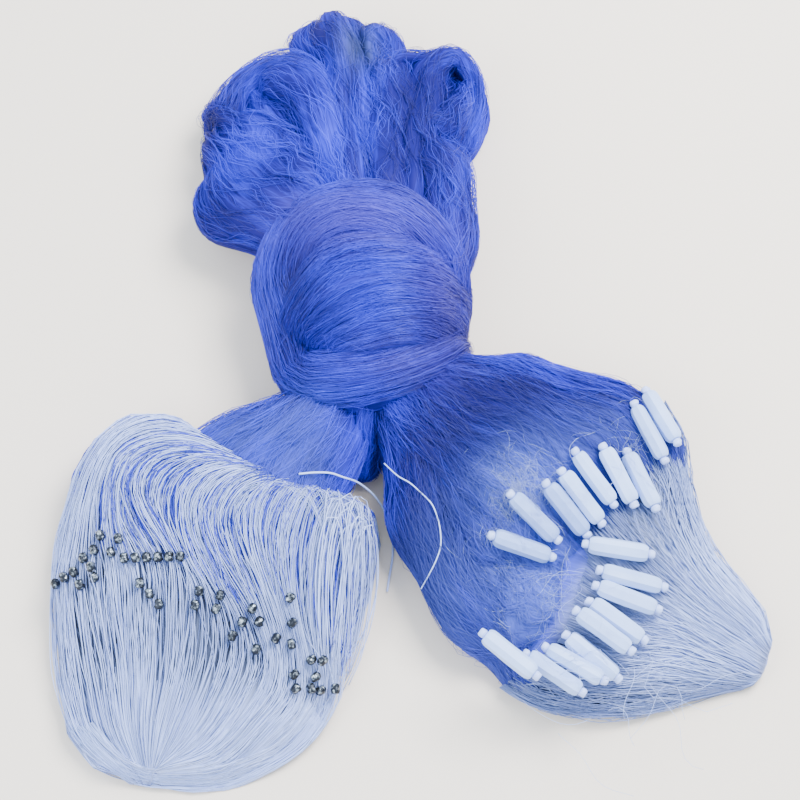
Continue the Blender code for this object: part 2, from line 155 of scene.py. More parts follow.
# Hills: middle x and y, how far they reach along x and y, and how high they are. The first five say where
# the netting is purple, thin and greyish, and the last where painted shade darkens it in its folds,
# hollows and gaps, and, with negative heights, where painted light brightens lit locks.
PURPLE_TOP = [(-8, 50, 62, 26, 1.0)]
PURPLE_SIDE = [(54, -4, 24, 44, 0.8)]
PURPLE_BAND = [(20, -62, 44, 14, 0.5)]
THIN = [(116, -148, 30, 22, 0.75), (124, -222, 30, 34, 0.5)]
GREY = [(-10, 226, 15, 26, 0.8)]
PAINTED_SHADE_AND_LIGHT = [
    (-126, 156, 18, 24, 0.90), (-66, 164, 18, 28, 0.20), (-112, 68, 30, 14, 0.70),
    (-140, 118, 10, 30, 0.40), (31, 168, 14, 44, 0.80), (40, 108, 18, 30, 0.80),
    (62, 174, 14, 26, 0.65), (14, 96, 8, 26, 0.80), (-36, 232, 10, 16, 0.40), (-14, 190, 7, 30, 0.35),
    (-54, 12, 16, 44, 0.60), (-50, -62, 24, 20, 0.35), (-60, 38, 10, 20, 0.15), (-20, 32, 34, 5, 0.50),
    (56, -32, 18, 34, 0.85), (60, -128, 30, 16, 0.40), (40, -205, 20, 46, 1.20),
    (90, -90, 28, 24, 0.60), (9, -96, 5, 34, 0.60), (-18, -96, 5, 24, 0.30), (-32, 140, 12, 44, -0.60),
    (-95, 177, 8, 24, -0.45), (-98, 124, 24, 22, -0.45), (84, 160, 8, 30, -0.50),
    (-6, 170, 8, 40, -0.40), (78, 63, 14, 44, 0.22), (-20, 40, 40, 14, -0.30), (2, 6, 30, 16, -0.25),
    (-5, -96, 6, 34, -0.35), (-20, -124, 12, 36, -0.30), (62, -204, 12, 40, -0.20),
]

# Which locks make each group.
GROUPS = {
    "knot": ("knot_core", "wrap", "main_band"),
    "loops": ("head_base", "left_lobe", "lobe_tip", "upper_left_loop", "loop_heart", "crown", "tuft",
              "tuft_side", "middle_lock", "right_curl", "curl_top", "curl_heart", "right_shoulder"),
    "left_leg": ("left_leg",),
    "right_leg": ("right_leg", "leg_hem", "right_leg_edge", "between_legs"),
}

# Where the lead line's upper lines look bluish, and where its lower ones lie in the dark.
BLUISH_OVER = [(-112, -248, 66, 46, 0.4)]
DEEP_UNDER = [(-112, -248, 66, 48, 0.7)]

# A skein's sections: distance from its nose, sideways shift, half its width and its height. It rises
# from the ground at its front.
SKEINS = {
    "lead_line_skein": {
        "nose": (-143, -366),
        "front": 7.0,
        "heading": 90.0,
        "sections": [
            (7, 4, 30, 12), (20, 4, 62, 22), (44, 9, 86, 33), (70, 16, 98, 40), (114, 23, 111, 51),
            (152, 26, 120, 61), (190, 31, 122, 68), (211, 31, 118, 72), (234, 2, 86, 73),
            (256, -17, 56, 68), (273, -22, 34, 56),
        ],
    },
    "float_line_skein": {
        "nose": (296, -262),
        "front": -2.0,
        "heading": 152.0,
        "sections": [
            (8, -10, 22, 18), (20, -9, 34, 24), (42, -13, 49, 32), (71, -20, 70, 39), (98, -15, 90, 45),
            (124, -2, 114, 48), (150, 8, 128, 46), (172, 13, 124, 40), (192, 10, 112, 30),
        ],
    },
}

# Guide lines over the lead line's skein, from its nose to where they dive into the netting: x, y.
LEAD_GUIDES = [
    [(-172, -357), (-208, -331), (-226, -290), (-233, -246), (-235, -208), (-231, -168), (-219, -136),
     (-203, -111), (-182, -90), (-156, -85), (-132, -88), (-110, -104), (-98, -122)],
    [(-165, -358), (-195, -328), (-207, -287), (-213, -248), (-216, -213), (-211, -172), (-203, -141),
     (-189, -116), (-164, -99), (-138, -96), (-114, -106), (-92, -122), (-80, -138)],
    [(-160, -359), (-175, -323), (-182, -282), (-190, -240), (-194, -205), (-197, -175), (-195, -146),
     (-184, -123), (-161, -111), (-131, -111), (-102, -122), (-78, -140), (-68, -158)],
    [(-157, -359), (-163, -322), (-163, -283), (-165, -245), (-168, -210), (-180, -177), (-182, -149),
     (-171, -130), (-149, -122), (-120, -124), (-90, -134), (-68, -149), (-60, -172)],
    [(-155, -356), (-150, -322), (-142, -287), (-139, -249), (-140, -207), (-156, -178), (-166, -156),
     (-159, -138), (-138, -129), (-109, -129), (-78, -138), (-57, -152), (-52, -178)],
    [(-154, -352), (-131, -330), (-113, -297), (-105, -267), (-110, -235), (-128, -208), (-142, -179),
     (-140, -154), (-123, -138), (-94, -135), (-65, -143), (-46, -157), (-42, -182)],
    [(-152, -350), (-114, -337), (-88, -307), (-76, -280), (-83, -249), (-98, -215), (-111, -183),
     (-104, -159), (-86, -143), (-66, -140), (-50, -146), (-38, -160), (-34, -190)],
    [(-151, -352), (-104, -347), (-72, -318), (-56, -296), (-58, -262), (-72, -221), (-82, -186),
     (-77, -161), (-61, -145), (-44, -142), (-30, -148), (-23, -164), (-21, -204), (-26, -244),
     (-34, -276)],
    [(-150, -356), (-100, -354), (-58, -326), (-40, -304), (-38, -281), (-47, -236), (-48, -196),
     (-41, -165), (-30, -150), (-22, -147), (-16, -154), (-13, -172), (-13, -208), (-18, -248),
     (-28, -284)],
    [(-148, -360), (-100, -360), (-50, -337), (-24, -304), (-18, -276), (-13, -246), (-9, -212),
     (-5, -182), (-2, -166), (1, -163), (3, -172), (3, -194), (-2, -220), (-10, -246), (-20, -270)],
]

# Guide lines round the front of the skein, over the start of the others: x, y.
NOSE_GUIDES = [
    [(-214, -322), (-196, -340), (-176, -354), (-150, -360), (-112, -361), (-78, -351), (-50, -336),
     (-32, -314)],
    [(-196, -318), (-182, -334), (-166, -346), (-144, -350), (-112, -349), (-80, -339), (-58, -324),
     (-42, -302)],
]

# Guide lines of the hairpins that stand over the skein's right shoulder: x, y, and height above it.
HAIRPIN_GUIDES = [
    [(-50, -252, 0), (-56, -204, 2), (-52, -166, 4), (-44, -150, 5), (-37, -160, 6), (-34, -204, 5),
     (-36, -246, 1), (-40, -280, -4)],
    [(-40, -254, 0), (-43, -204, 2), (-38, -162, 4), (-31, -148, 5), (-25, -160, 6), (-22, -204, 5),
     (-24, -248, 1), (-30, -276, -5)],
    [(-28, -266, 0), (-26, -212, 2), (-20, -168, 5), (-12, -152, 6), (-6, -162, 7), (-4, -204, 5),
     (-10, -248, 1), (-22, -272, -5)],
    [(-20, -276, 0), (-14, -222, 2), (-8, -178, 5), (0, -162, 6), (6, -170, 7), (8, -205, 5),
     (1, -238, 1), (-14, -264, -5)],
]

# Guide lines over the float line's skein, from among the floats to its nose: x, y.
FLOAT_GUIDES = [
    [(226, -63), (238, -88), (242, -121), (246, -152), (258, -183), (277, -209), (292, -230),
     (296, -253)],
    [(214, -105), (225, -138), (231, -169), (243, -199), (262, -224), (280, -241), (289, -252),
     (294, -260)],
    [(150, -140), (170, -155), (198, -191), (223, -216), (249, -238), (274, -253), (285, -261),
     (292, -265)],
    [(140, -155), (159, -170), (190, -210), (220, -235), (249, -253), (273, -264), (283, -268),
     (290, -270)],
    [(160, -200), (180, -218), (203, -232), (233, -247), (258, -261), (276, -269), (284, -273),
     (289, -275)],
    [(140, -258), (164, -266), (188, -269), (219, -267), (248, -274), (268, -279), (279, -281),
     (286, -280)],
    [(118, -278), (142, -286), (166, -289), (202, -288), (236, -288), (260, -288), (272, -287),
     (281, -285)],
    [(95, -288), (112, -299), (131, -306), (167, -310), (204, -306), (233, -296), (256, -291),
     (272, -288)],
]

# Leads that lie half under the lines: x, y and height above the ground.
HIDDEN_LEADS = [
    (-78, -251, 52), (-80, -270, 47), (-55, -266, 46), (-41, -294, 28), (-24, -292, 20),
]

# Round lines that lie loose: the piece, the diameter, how the far end ends, and the route from where the
# line leaves the net: x, y, z.
LOOSE_LINES = {
    "loose_line": {
        "piece": "loose_end",
        "diameter": 1.5,
        "far_end": "bare",
        "route": [
            (13.2, -213, 2.5), (15, -200, 2), (17, -187, 1.8), (17, -174, 2.5), (14, -161, 7),
            (10, -152, 15), (4, -146, 25), (-3, -143, 36), (-10, -142, 47), (-19, -142, 56),
            (-28, -141, 62), (-39, -142, 66), (-51, -144, 68.5),
        ],
    },
    "stray_line": {
        "piece": "stray_thread",
        "diameter": 1.0,
        "far_end": "object",
        "route": [
            (11, -129, 50), (21, -142, 59), (30, -149, 62.8), (39, -158, 64), (46, -166, 64),
            (50, -176, 62.2), (52, -186, 60.6), (52, -196, 57.4), (49, -205, 54.8), (44, -214, 49),
            (38, -222, 38.5),
        ],
    },
}

# Where a float's sections lie along it, from one end at -1 to the other at 1.
FLOAT_STATIONS = (-1.0, -0.985, -0.95, -0.9, -0.84, -0.76, -0.66, -0.35, 0.0,
                  0.35, 0.66, 0.76, 0.84, 0.9, 0.95, 0.985, 1.0)

# A float's section: where its points lie from one flat to the next in degrees, how far its corners are
# cut off, and its height as a share of its width.
QUARTER_ANGLES = (0.0, 25.5, 45.0, 64.5)
CORNER_CUT = 1.477
FLATNESS = 0.86
# From where a float narrows, over how much of its half length, and how far it may be rolled in degrees.
NARROWS_FROM = 0.74
NARROWS_OVER = 0.28
GREATEST_ROLL = 42.0

# Where thin white netting lies over the right leg, as a haze of short hairs and as long curling
# threads: middle x and y, how far it spreads, how many threads, the heading they tend to, their least
# and greatest length, their thickness as a share of a line's, and how bright they are.
VEIL_PATCHES = [
    (104, -150, 11, 220, -60, 8, 22, 0.17, 0.5), (122, -164, 14, 320, -50, 8, 24, 0.18, 0.5),
    (98, -186, 11, 90, -50, 10, 26, 0.16, 0.4), (122, -228, 22, 200, -40, 10, 28, 0.17, 0.4),
    (200, -120, 16, 60, -60, 10, 26, 0.18, 0.5), (104, -152, 10, 12, -60, 16, 40, 0.22, 0.6),
    (118, -168, 13, 18, -50, 16, 44, 0.24, 0.6), (106, -240, 18, 14, -40, 30, 70, 0.26, 0.8),
    (136, -236, 20, 14, -20, 30, 80, 0.28, 0.8), (150, -272, 22, 34, -10, 30, 100, 0.38, 0.9),
    (190, -272, 26, 34, -10, 30, 110, 0.38, 0.9), (150, -205, 14, 16, -30, 24, 60, 0.28, 0.7),
    (190, -150, 14, 16, -60, 24, 60, 0.34, 0.9),
]

# The middle of the floats that lie under the veil, and how far round it they lie.
UNDER_VEIL = (116, -176)
VEIL_REACH = 32.0

# Where the camera and the lamps face, in metres, and the lamps: place and width in metres, share of the
# main lamp's power, and tint.
AIM = Vector((-0.0063, -0.0263, 0.045))
LAMPS = [
    ("key lamp", (0.7, 0.5, 1.5), 0.9, 1.0, (0.86, 0.93, 1.0)),
    ("fill lamp", (-1.2, -0.6, 1.1), 1.2, 0.3, (0.8, 0.9, 1.0)),
]

# Netting keeps this far off the ground. Lines, skirts and threads keep so much more.
LIFT_OFF_GROUND = 0.4
LINE_GAP = 0.6
SKIRT_GAP = 0.5
THREAD_GAP = 0.4
# Spline points from one row of a table to the next, and stations along a lock.
SPLINE_STEPS = 24
LOCK_STATIONS = 72
# The length of a lock over which its lumps come and go.
LUMP_LENGTH = 34.0
# The power of a skein's rounded section, and over what length its front and its inside are rounded.
SHOULDER = 2.6
FRONT_ROUND = 16.0
NOSE_ROUND = 14.0
# The least hidden share of a strand that is left out, the share of a strand that sinks at an end, how deep
# it sinks there, and how deep it lies low on the sides of a lock.
MOSTLY = 0.66
TUCKED_SHARE = 0.16
TUCK_DEPTH = 3.6
LOW_DEPTH = 1.4
# How far beyond a lock's ends strands are dealt out, and the least half width that they are dealt over.
OVERSHOOT = 0.15
LEAST_WIDTH = 12.0
# How deep a lock's core lies under its skin, and how deep its furrows are.
CORE_DEPTH = 1.3
FURROW_DEPTH = 0.7
# Stations along a guide, bundles from one guide to the next, and guides that a strip and its gap take up.
GUIDE_STATIONS = 121
BUNDLES_A_GUIDE = 1.7
GUIDES_A_WINDOW = 2.75
# The most that a thread of the veil may rise or fall between two of its points.
STEEPEST_STEP = 11.0
# How far a hidden lead stands above its line.
LEAD_RISE = 1.5
# The share of a chart's cell that is left free at its edges.
CELL_MARGIN = 0.08


# ---------------------------------------------------------------- shapes

def smooth(rows, count):
    """The rows of a table joined by a Catmull-Rom spline in every column, read at even steps of the way
    that the spline makes through x, y and z."""
    rows = np.asarray(rows, float)
    padded = np.vstack([2 * rows[0] - rows[1], rows, 2 * rows[-1] - rows[-2]])
    t = np.linspace(0.0, len(rows) - 1.0, SPLINE_STEPS * (len(rows) - 1) + 1)
    row = np.minimum(t.astype(int), len(rows) - 2)
    f = (t - row)[:, None]
    a, b, c, d = (padded[row + shift] for shift in range(4))
    fine = 0.5 * (2 * b + (c - a) * f + (2 * a - 5 * b + 4 * c - d) * f ** 2
                  + (3 * b - a - 3 * c + d) * f ** 3)
    run = way_along(fine[:, :3])
    even = np.linspace(0.0, run[-1], count)
    return np.stack([np.interp(even, run, column) for column in fine.T], axis=1)


def way_along(points):
    """The distance along a row of points from its first to each."""
    return np.concatenate([[0.0], np.cumsum(np.linalg.norm(np.diff(points, axis=0), axis=1))])


def ease(low, high, value):
    """0 below low, 1 above high, and 3t^2 - 2t^3 between them."""
    t = np.clip((value - low) / (high - low), 0.0, 1.0)
    return t * t * (3.0 - 2.0 * t)


def unit(vectors):
    """Vectors divided by their lengths."""
    return vectors / np.maximum(np.linalg.norm(vectors, axis=-1, keepdims=True), 1e-9)


def quarter_round(share, least=0.0):
    """The height of a quarter round at a share q of its reach: the root of 1 - q^2, or of least where that
    is more."""
    return np.sqrt(np.clip(1.0 - share ** 2, least, 1.0))


def shouldered(share):
    """The height of a skein's section at a share q of its half width, or the other way round:
    (1 - q^2.6)^(1/2.6)."""
    return (1.0 - share ** SHOULDER) ** (1.0 / SHOULDER)


def hills(x, y, rows):
    """A sum of bell-shaped hills: height exp(-((x - middle x) / reach x)^2 - ((y - middle y) / reach y)^2)
    for each of the rows."""
    total = 0.0
    for middle_x, middle_y, reach_x, reach_y, height in rows:
        total = total + height * np.exp(-((x - middle_x) / reach_x) ** 2 - ((y - middle_y) / reach_y) ** 2)
    return total


def shares(count):
    """A row of even shares from 0 to 1."""
    return np.linspace(0.0, 1.0, count)[None, :]


def ranks(count, apart=5.7):
    """A column of numbers so far apart that each line of a piece waves in its own way."""
    return np.arange(count)[:, None] * apart


def round_angles(sides):
    """A row of angles round a ring, in the order that turns faces outwards."""
    return -np.arange(sides)[None, :] * 2 * np.pi / sides


def from_knot(spots):
    """x, y and z of spots, from the middle of the knot."""
    return np.moveaxis(spots - KNOT, -1, 0)


def grounded(x, y, z, gap=0.0):
    """Spots that keep off the ground, by gap more than the netting does."""
    return np.stack([x, y, np.maximum(z, LIFT_OFF_GROUND + gap)], axis=-1)


class Wander:
    """A smooth random wave of any number of coordinates: a sum of sines, each of a random direction and
    phase."""

    def __init__(self, seed, coordinates, waves=10):
        rng = np.random.default_rng(seed)
        size = rng.uniform(0.35, 1.0, waves)
        self.turns = unit(rng.normal(size=(waves, coordinates))) * (1.0 / size)[:, None] * 2.2
        self.phase = rng.uniform(0.0, 2 * np.pi, waves)
        self.weight = size / np.sqrt((size ** 2).sum() / 2)

    def __call__(self, *coordinates):
        """The wave's height, mostly between -2 and 2."""
        total = 0.0
        for turns, phase, weight in zip(self.turns, self.phase, self.weight):
            angle = phase
            for turn, coordinate in zip(turns, coordinates):
                angle = angle + turn * coordinate
            total = total + weight * np.sin(angle)
        return total


def wander(rng, coordinates=2):
    """A wave whose seed is the next draw."""
    return Wander(rng.integers(1 << 30), coordinates)


class Lock:
    """A gathered rope of netting. Its skin at share u of its length and at angle a from its right side is
    middle(u) + cos(a) width(u) right(u) + sin(a) height(u) upward(u), a little swollen here and sunk there,
    and both its ends are domes."""

    def __init__(self, rows, lumps, seed):
        table = smooth(rows, LOCK_STATIONS)
        self.lumps = lumps
        self.swell = Wander(seed, 3)
        self.middle = table[:, :3] + KNOT
        self.half = table[:, 3:5]
        self.along = unit(np.gradient(self.middle, axis=0))
        self.across = np.cross(unit(self.along * (1.0, 1.0, 0.0)), (0.0, 0.0, 1.0))
        self.upward = np.cross(self.across, self.along)
        self.length = float(way_along(self.middle)[-1])
        self.dome = self.half[[0, -1], 1]
        self.reach = (-self.dome[0] / self.length, 1.0 + self.dome[1] / self.length)

    def read(self, values, share):
        """A row of values at each share of the length, read between stations."""
        at = np.clip(share, 0.0, 1.0) * (LOCK_STATIONS - 1)
        low = np.minimum(at.astype(int), LOCK_STATIONS - 2)
        f = (at - low)[..., None]
        return values[low] * (1.0 - f) + values[low + 1] * f

    def place(self, share, angle, proud):
        """Places proud millimetres above the skin."""
        beyond = (share - np.clip(share, 0.0, 1.0)) * self.length
        drawn_in = quarter_round(beyond / np.where(beyond < 0.0, self.dome[0], self.dome[1]))
        half = self.read(self.half, share)
        swell = self.swell(np.cos(angle) * 1.6, np.sin(angle) * 1.6, share * self.length / LUMP_LENGTH)
        proud = proud + self.lumps * swell * drawn_in
        side = np.cos(angle) * (half[..., 0] * drawn_in + proud)
        rise = np.sin(angle) * (half[..., 1] * drawn_in + proud)
        spot = self.read(self.middle, share)
        for amount, way in ((beyond, self.along), (side, self.across), (rise, self.upward)):
            spot = spot + amount[..., None] * self.read(way, share)
        return grounded(*np.moveaxis(spot, -1, 0))

    def depth(self, spots):
        """How deep spots lie in the lock: 1 on its middle line, 0 on its skin, negative outside it."""
        flat = spots.reshape(-1, 3)
        least = np.full(len(flat), 9.0)
        for station in range(0, LOCK_STATIONS, 3):
            away = flat - self.middle[station]
            half = self.half[station]
            right = away @ self.across[station] / half[0]
            up = away @ self.upward[station] / half[1]
            ahead = away @ self.along[station] / (0.6 * half[1])
            least = np.minimum(least, right ** 2 + up ** 2 + ahead ** 2)
        return (1.0 - np.sqrt(least)).reshape(spots.shape[:-1])


def top_of(locks, x, y):
    """The highest of some locks' skins over places on the ground: at the station nearest a place, the
    middle's height + half height sqrt(1 - (right / half width)^2)."""
    height = np.zeros(np.shape(x))
    for lock in locks:
        away = np.stack([x, y], axis=-1)[..., None, :] - lock.middle[:, :2]
        station = np.abs((away * lock.along[:, :2]).sum(axis=-1)).argmin(axis=-1)
        right = (away * lock.across[:, :2]).sum(axis=-1)
        share = np.take_along_axis(right, station[..., None], axis=-1)[..., 0] / lock.half[station, 0]
        skin = lock.middle[station, 2] + lock.half[station, 1] * quarter_round(share)
        height = np.where(np.abs(share) < 1.0, np.maximum(height, skin), height)
    return height


def all_locks():
    """Every lock of the netting. Its lumps follow from its place in the order of the groups."""
    locks = {}
    for group, names in GROUPS.items():
        for name in names:
            locks[name] = Lock(LOCKS[name], LUMPS[group], 100 + len(locks))
    return locks


class Skein:
    """A sheaf of lines: at share q of its half width its top is at (1 - q^2.6)^(1/2.6) of its height."""

    def __init__(self, form):
        heading = math.radians(form["heading"])
        self.nose = np.array(form["nose"], float) + KNOT[:2]
        self.along = np.array((math.cos(heading), math.sin(heading)))
        self.right = np.array((math.sin(heading), -math.cos(heading)))
        self.sections = np.array(form["sections"], float)
        self.first, self.last = self.sections[[0, -1], 0]
        self.front = form["front"]

    def section(self, run):
        """Sideways shift, half width and height at distances from the nose."""
        return (np.interp(run, self.sections[:, 0], column) for column in self.sections[:, 1:].T)

    def coordinates(self, x, y):
        """Distance from the nose, and the share of the half width, of places on the ground."""
        away = np.stack([x, y], axis=-1) - self.nose
        run = away @ self.along
        shift, width, _ = self.section(run)
        return run, (away @ self.right - shift) / width

    def spot(self, run, lateral):
        """Places on the ground at distances from the nose and sideways of the heading."""
        x = self.nose[0] + self.along[0] * run + self.right[0] * lateral
        y = self.nose[1] + self.along[1] * run + self.right[1] * lateral
        return x, y

    def top(self, x, y):
        """Height of the sheaf's top: a quarter round over its front, easing down past its far end."""
        run, share = self.coordinates(x, y)
        _, _, height = self.section(run)
        height = height * quarter_round(1.0 - np.clip((run - self.front) / FRONT_ROUND, 0.03, 1.0))
        height = height * (1.0 - 0.6 * ease(self.last, self.last + 14, run))
        return height * shouldered(np.minimum(np.abs(share), 0.985))


# Closed skins as whole arrays: points in millimetres, the corners of all the faces one after another, how
# many corners each face has, at each corner its skin's rank and its place across and along that skin,
# numbers at the points, and how many skins.
Form = namedtuple("Form", "points corners sizes cells values skins")


def joined(*forms):
    """Several forms as one: their points and skins are counted on."""
    first = np.cumsum([0] + [len(form.points) for form in forms])
    rank = np.cumsum([0] + [form.skins for form in forms])
    cell = [np.array((number, 0.0, 0.0)) for number in rank]

    def chain(part, shifts):
        """One part of every form, each moved by its shift."""
        return np.concatenate([getattr(form, part) + shift for form, shift in zip(forms, shifts)])

    values = {key: np.concatenate([form.values[key] for form in forms]) for key in forms[0].values}
    return Form(chain("points", 0 * first), chain("corners", first), chain("sizes", 0 * first),
                chain("cells", cell), values, int(rank[-1]))


def make_mesh(name, form):
    """A mesh of a form. Each skin has its own cell of a square chart, so that every corner has a spot
    there."""
    mesh = bpy.data.meshes.new(name)
    mesh.vertices.add(len(form.points))
    mesh.vertices.foreach_set("co", (form.points * MM).astype(np.float32).ravel())
    mesh.loops.add(len(form.corners))
    mesh.loops.foreach_set("vertex_index", form.corners.astype(np.int32))
    mesh.polygons.add(len(form.sizes))
    mesh.polygons.foreach_set("loop_start", (np.cumsum(form.sizes) - form.sizes).astype(np.int32))
    mesh.update(calc_edges=True)
    mesh.shade_smooth()
    for key, numbers in form.values.items():
        layer = mesh.attributes.new(key, "FLOAT", "POINT")
        layer.data.foreach_set("value", np.ravel(numbers).astype(np.float32))
    side = math.ceil(math.sqrt(form.skins))
    rank = form.cells[:, :1]
    chart = np.concatenate([rank % side, rank // side], axis=1) + CELL_MARGIN
    chart = (chart + (1.0 - 2.0 * CELL_MARGIN) * form.cells[:, 1:]) / side
    mesh.uv_layers.new(name="OFBake").uv.foreach_set("vector", chart.astype(np.float32).ravel())
    return mesh


def loft(spots, **values):
    """Rings of places (ring, side) joined into closed skins, with a pole at each end. Rings run forward
    and their sides turn so that faces point outwards. A stack of skins is (skin, ring, side)."""
    spots = spots if spots.ndim == 4 else spots[None]
    skins, rings, sides = spots.shape[:3]
    skin = np.arange(skins)[:, None, None]
    ring = np.arange(rings - 1)[None, :, None]
    side = np.arange(sides)[None, None, :]
    after = (side + 1) % sides
    first = skin * (rings * sides + 2)
    low, high = first + ring * sides, first + (ring + 1) * sides
    quads = np.stack([low + side, low + after, high + after, high + side], axis=-1)
    ahead = np.stack([ring, ring, ring + 1, ring + 1], axis=-1) / (rings - 1.0)
    across = np.stack([side, side + 1, side + 1, side], axis=-1) / float(sides)
    cells = [(across, ahead)]

    pole = first + rings * sides
    last = pole - sides
    near = np.stack([first + after, first + side, pole + 0 * side], axis=-1)
    far = np.stack([last + side, last + after, pole + 1 + 0 * side], axis=-1)
    for ahead, steps in ((0.0, (1, 0, 0.5)), (1.0, (0, 1, 0.5))):
        cells.append(((side[..., None] + np.array(steps)) / sides, ahead))
    cells = [np.stack(np.broadcast_arrays(skin[..., None] + 0.0, *cell), axis=-1) for cell in cells]
    cells = np.concatenate([cell.reshape(-1, 3) for cell in cells])

    def with_poles(array):
        """Each skin's rows, and the means of its first and last ring."""
        ends = np.stack([array[:, 0].mean(axis=1), array[:, -1].mean(axis=1)], axis=1)
        return np.concatenate([array.reshape(skins, rings * sides, *array.shape[3:]), ends], axis=1)

    points = with_poles(spots).reshape(-1, 3)
    grids = {key: np.broadcast_to(given, spots.shape[:3]) for key, given in values.items()}
    numbers = {key: with_poles(grid).ravel() for key, grid in grids.items()}
    corners = np.concatenate([quads.ravel(), near.ravel(), far.ravel()])
    sizes = np.repeat((4, 3), (quads.size // 4, 2 * skins * sides))
    return Form(points, corners, sizes, cells, numbers, skins)


def tubes(paths, radius, sides=3, **values):
    """A round tube along each path (line, station, xyz). Its corners are path + radius (cos a side +
    sin a up), where side is the tangent crossed with the flattest direction of the whole path."""
    tangent = unit(np.gradient(paths, axis=1))
    spread = paths - paths.mean(axis=1, keepdims=True)
    flattest = np.linalg.eigh(np.einsum("nmi,nmj->nij", spread, spread))[1][:, :, 0]
    side = unit(np.cross(tangent, flattest[:, None, :]))
    up = np.cross(side, tangent)
    angle = round_angles(sides)[0][:, None]
    radius = np.broadcast_to(radius, paths.shape[:2])[..., None, None]
    ring = np.cos(angle) * side[..., None, :] + np.sin(angle) * up[..., None, :]
    numbers = {key: np.broadcast_to(given, paths.shape[:2])[..., None] for key, given in values.items()}
    return loft(paths[..., None, :] + radius * ring, **numbers)


def put(name, form, finish, replaces=()):
    """Put a form in the scene as a piece of the net."""
    mesh = make_mesh(name, form)
    piece = bpy.data.objects.new(name, mesh)
    bpy.context.scene.collection.objects.link(piece)
    mesh.materials.append(finish)
    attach(piece, BODY)
    if replaces:
        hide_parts(*replaces)
    return piece


# ---------------------------------------------------------------- strands

def shown_strands(paths, others, **values):
    """The strands that lie mostly outside all the other locks, and their numbers."""
    hidden = np.zeros(paths.shape[:2], bool)
    for other in others:
        hidden |= other.depth(paths) > 0.05
    shown = hidden.mean(axis=1) < MOSTLY
    return paths[shown], {key: np.broadcast_to(given, hidden.shape)[shown] for key, given in values.items()}


def combed(name, lock, others, density, rng):
    """Strands that lie on a lock in tufts.

    A tuft has a middle angle that wanders along the lock, and its strands lie beside that angle in a
    bunch that opens and closes. Each strand crosses the bunch at a slight slant of its own, is highest
    in the middle of its tuft, sinks under the skin at both ends unless it reaches the end of the lock,
    and frays by a small wave. Low on the lock's sides the strands lie under the skin.
    """
    count, low, high, tufts, loft_by, share, fray, wave_length, slant, turn, stations = COMBING[name]
    count = int(count * density)
    t = shares(stations)
    tuft = rng.integers(0, tufts, count)
    middle = np.radians(low + (high - low) * (np.arange(tufts) + rng.uniform(0.0, 1.0, tufts)) / tufts)
    tuft_height = rng.uniform(-0.6, 1.0, tufts)[tuft]
    spread = np.radians(high - low) / tufts * rng.uniform(0.7, 1.5, tufts)[tuft]
    beside = np.clip(rng.normal(0.0, 0.7, count), -1.8, 1.8)
    begin, end = lock.reach
    length = (end - begin) * share * rng.uniform(0.6, 1.4, count)
    start = begin - OVERSHOOT + (end - begin + 2 * OVERSHOOT - length) * rng.uniform(0.0, 1.0, count)
    start, stop = np.maximum(start, begin), np.minimum(start + length, end)
    at = start[:, None] + (stop - start)[:, None] * t
    sway, gather = wander(rng), wander(rng)
    angle = middle[tuft][:, None] + 0.5 * spread[:, None] * sway(at * 5.0, tuft[:, None] * 7.0)
    angle = angle + (spread * beside)[:, None] * (0.75 + 0.45 * gather(at * 7.0, tuft[:, None] * 3.0))
    angle = angle + turn * 2 * np.pi * (at - 0.5)
    width = np.maximum(lock.read(lock.half, at)[..., 0], LEAST_WIDTH)
    slanted = rng.normal(0.0, math.radians(slant), (count, 1)) * (at - at.mean(axis=1, keepdims=True))
    angle = angle + slanted * lock.length / width
    wave, strand = wander(rng), ranks(count, 11.3)
    angle = angle + 0.6 * fray * wave(at * lock.length / wave_length, strand) / width
    proud = loft_by * (tuft_height[:, None] + 0.5 - 0.45 * beside[:, None] ** 2)
    proud = proud + rng.uniform(-0.7, 0.7, (count, 1))
    proud = proud + 0.3 * fray * wave(at * lock.length / wave_length + 40.0, strand)
    upper = ease(0.0, 0.3, np.sin(angle))
    proud = proud * (0.3 + 0.7 * upper) - LOW_DEPTH * (1.0 - upper)
    sinks_first, sinks_last = start > begin + 0.001, stop < end - 0.001
    tucked = sinks_first[:, None] * (1.0 - ease(0.0, TUCKED_SHARE, t))
    tucked = tucked + sinks_last[:, None] * (1.0 - ease(0.0, TUCKED_SHARE, 1.0 - t))
    # Higher tufts get a higher tone, and prouder strands a greater height: painted light on the top of the
    # pile, painted shade low in it.
    tone = np.clip(rng.normal(0.5, 0.22, (count, 1)) + 0.16 * tuft_height[:, None], 0.0, 1.0)
    return shown_strands(lock.place(at, angle, proud - TUCK_DEPTH * tucked), others, tone=tone,
                         height=np.clip(0.5 + proud / 6.0, 0.0, 1.0), along=at * lock.length,
                         around=rng.uniform(0.0, 900.0, (count, 1)))


def flyaways(lock, others, count, rng, stations=7):
    """Short hairs that cross a lock at a slant and stand off it in a low arch."""
    t = shares(stations)
    begin, end = lock.reach
    middle = rng.uniform(begin + 0.03, end - 0.03, (count, 1))
    reach = rng.uniform(8.0, 22.0, (count, 1)) / lock.length
    at = np.clip(middle + reach * (t - 0.5) * 2.0, begin, end)
    width = lock.read(lock.half, middle)[..., 0]
    slant = rng.normal(0.0, 0.5, (count, 1)) * reach * lock.length / width
    curl = rng.normal(0.0, 0.12, (count, 1))
    angle = rng.uniform(0.0, np.pi, (count, 1)) + slant * (t - 0.5) * 2.0 + curl * np.cos(2.0 * np.pi * t)
    proud = -1.0 + rng.uniform(1.5, 5.5, (count, 1)) * np.sin(np.pi * t) ** 0.8
    bright = rng.uniform(0.4, 0.9, (count, 1))
    return shown_strands(lock.place(at, angle, proud), others, tone=bright, height=bright,
                         along=at * lock.length, around=rng.uniform(0.0, 900.0, (count, 1)))


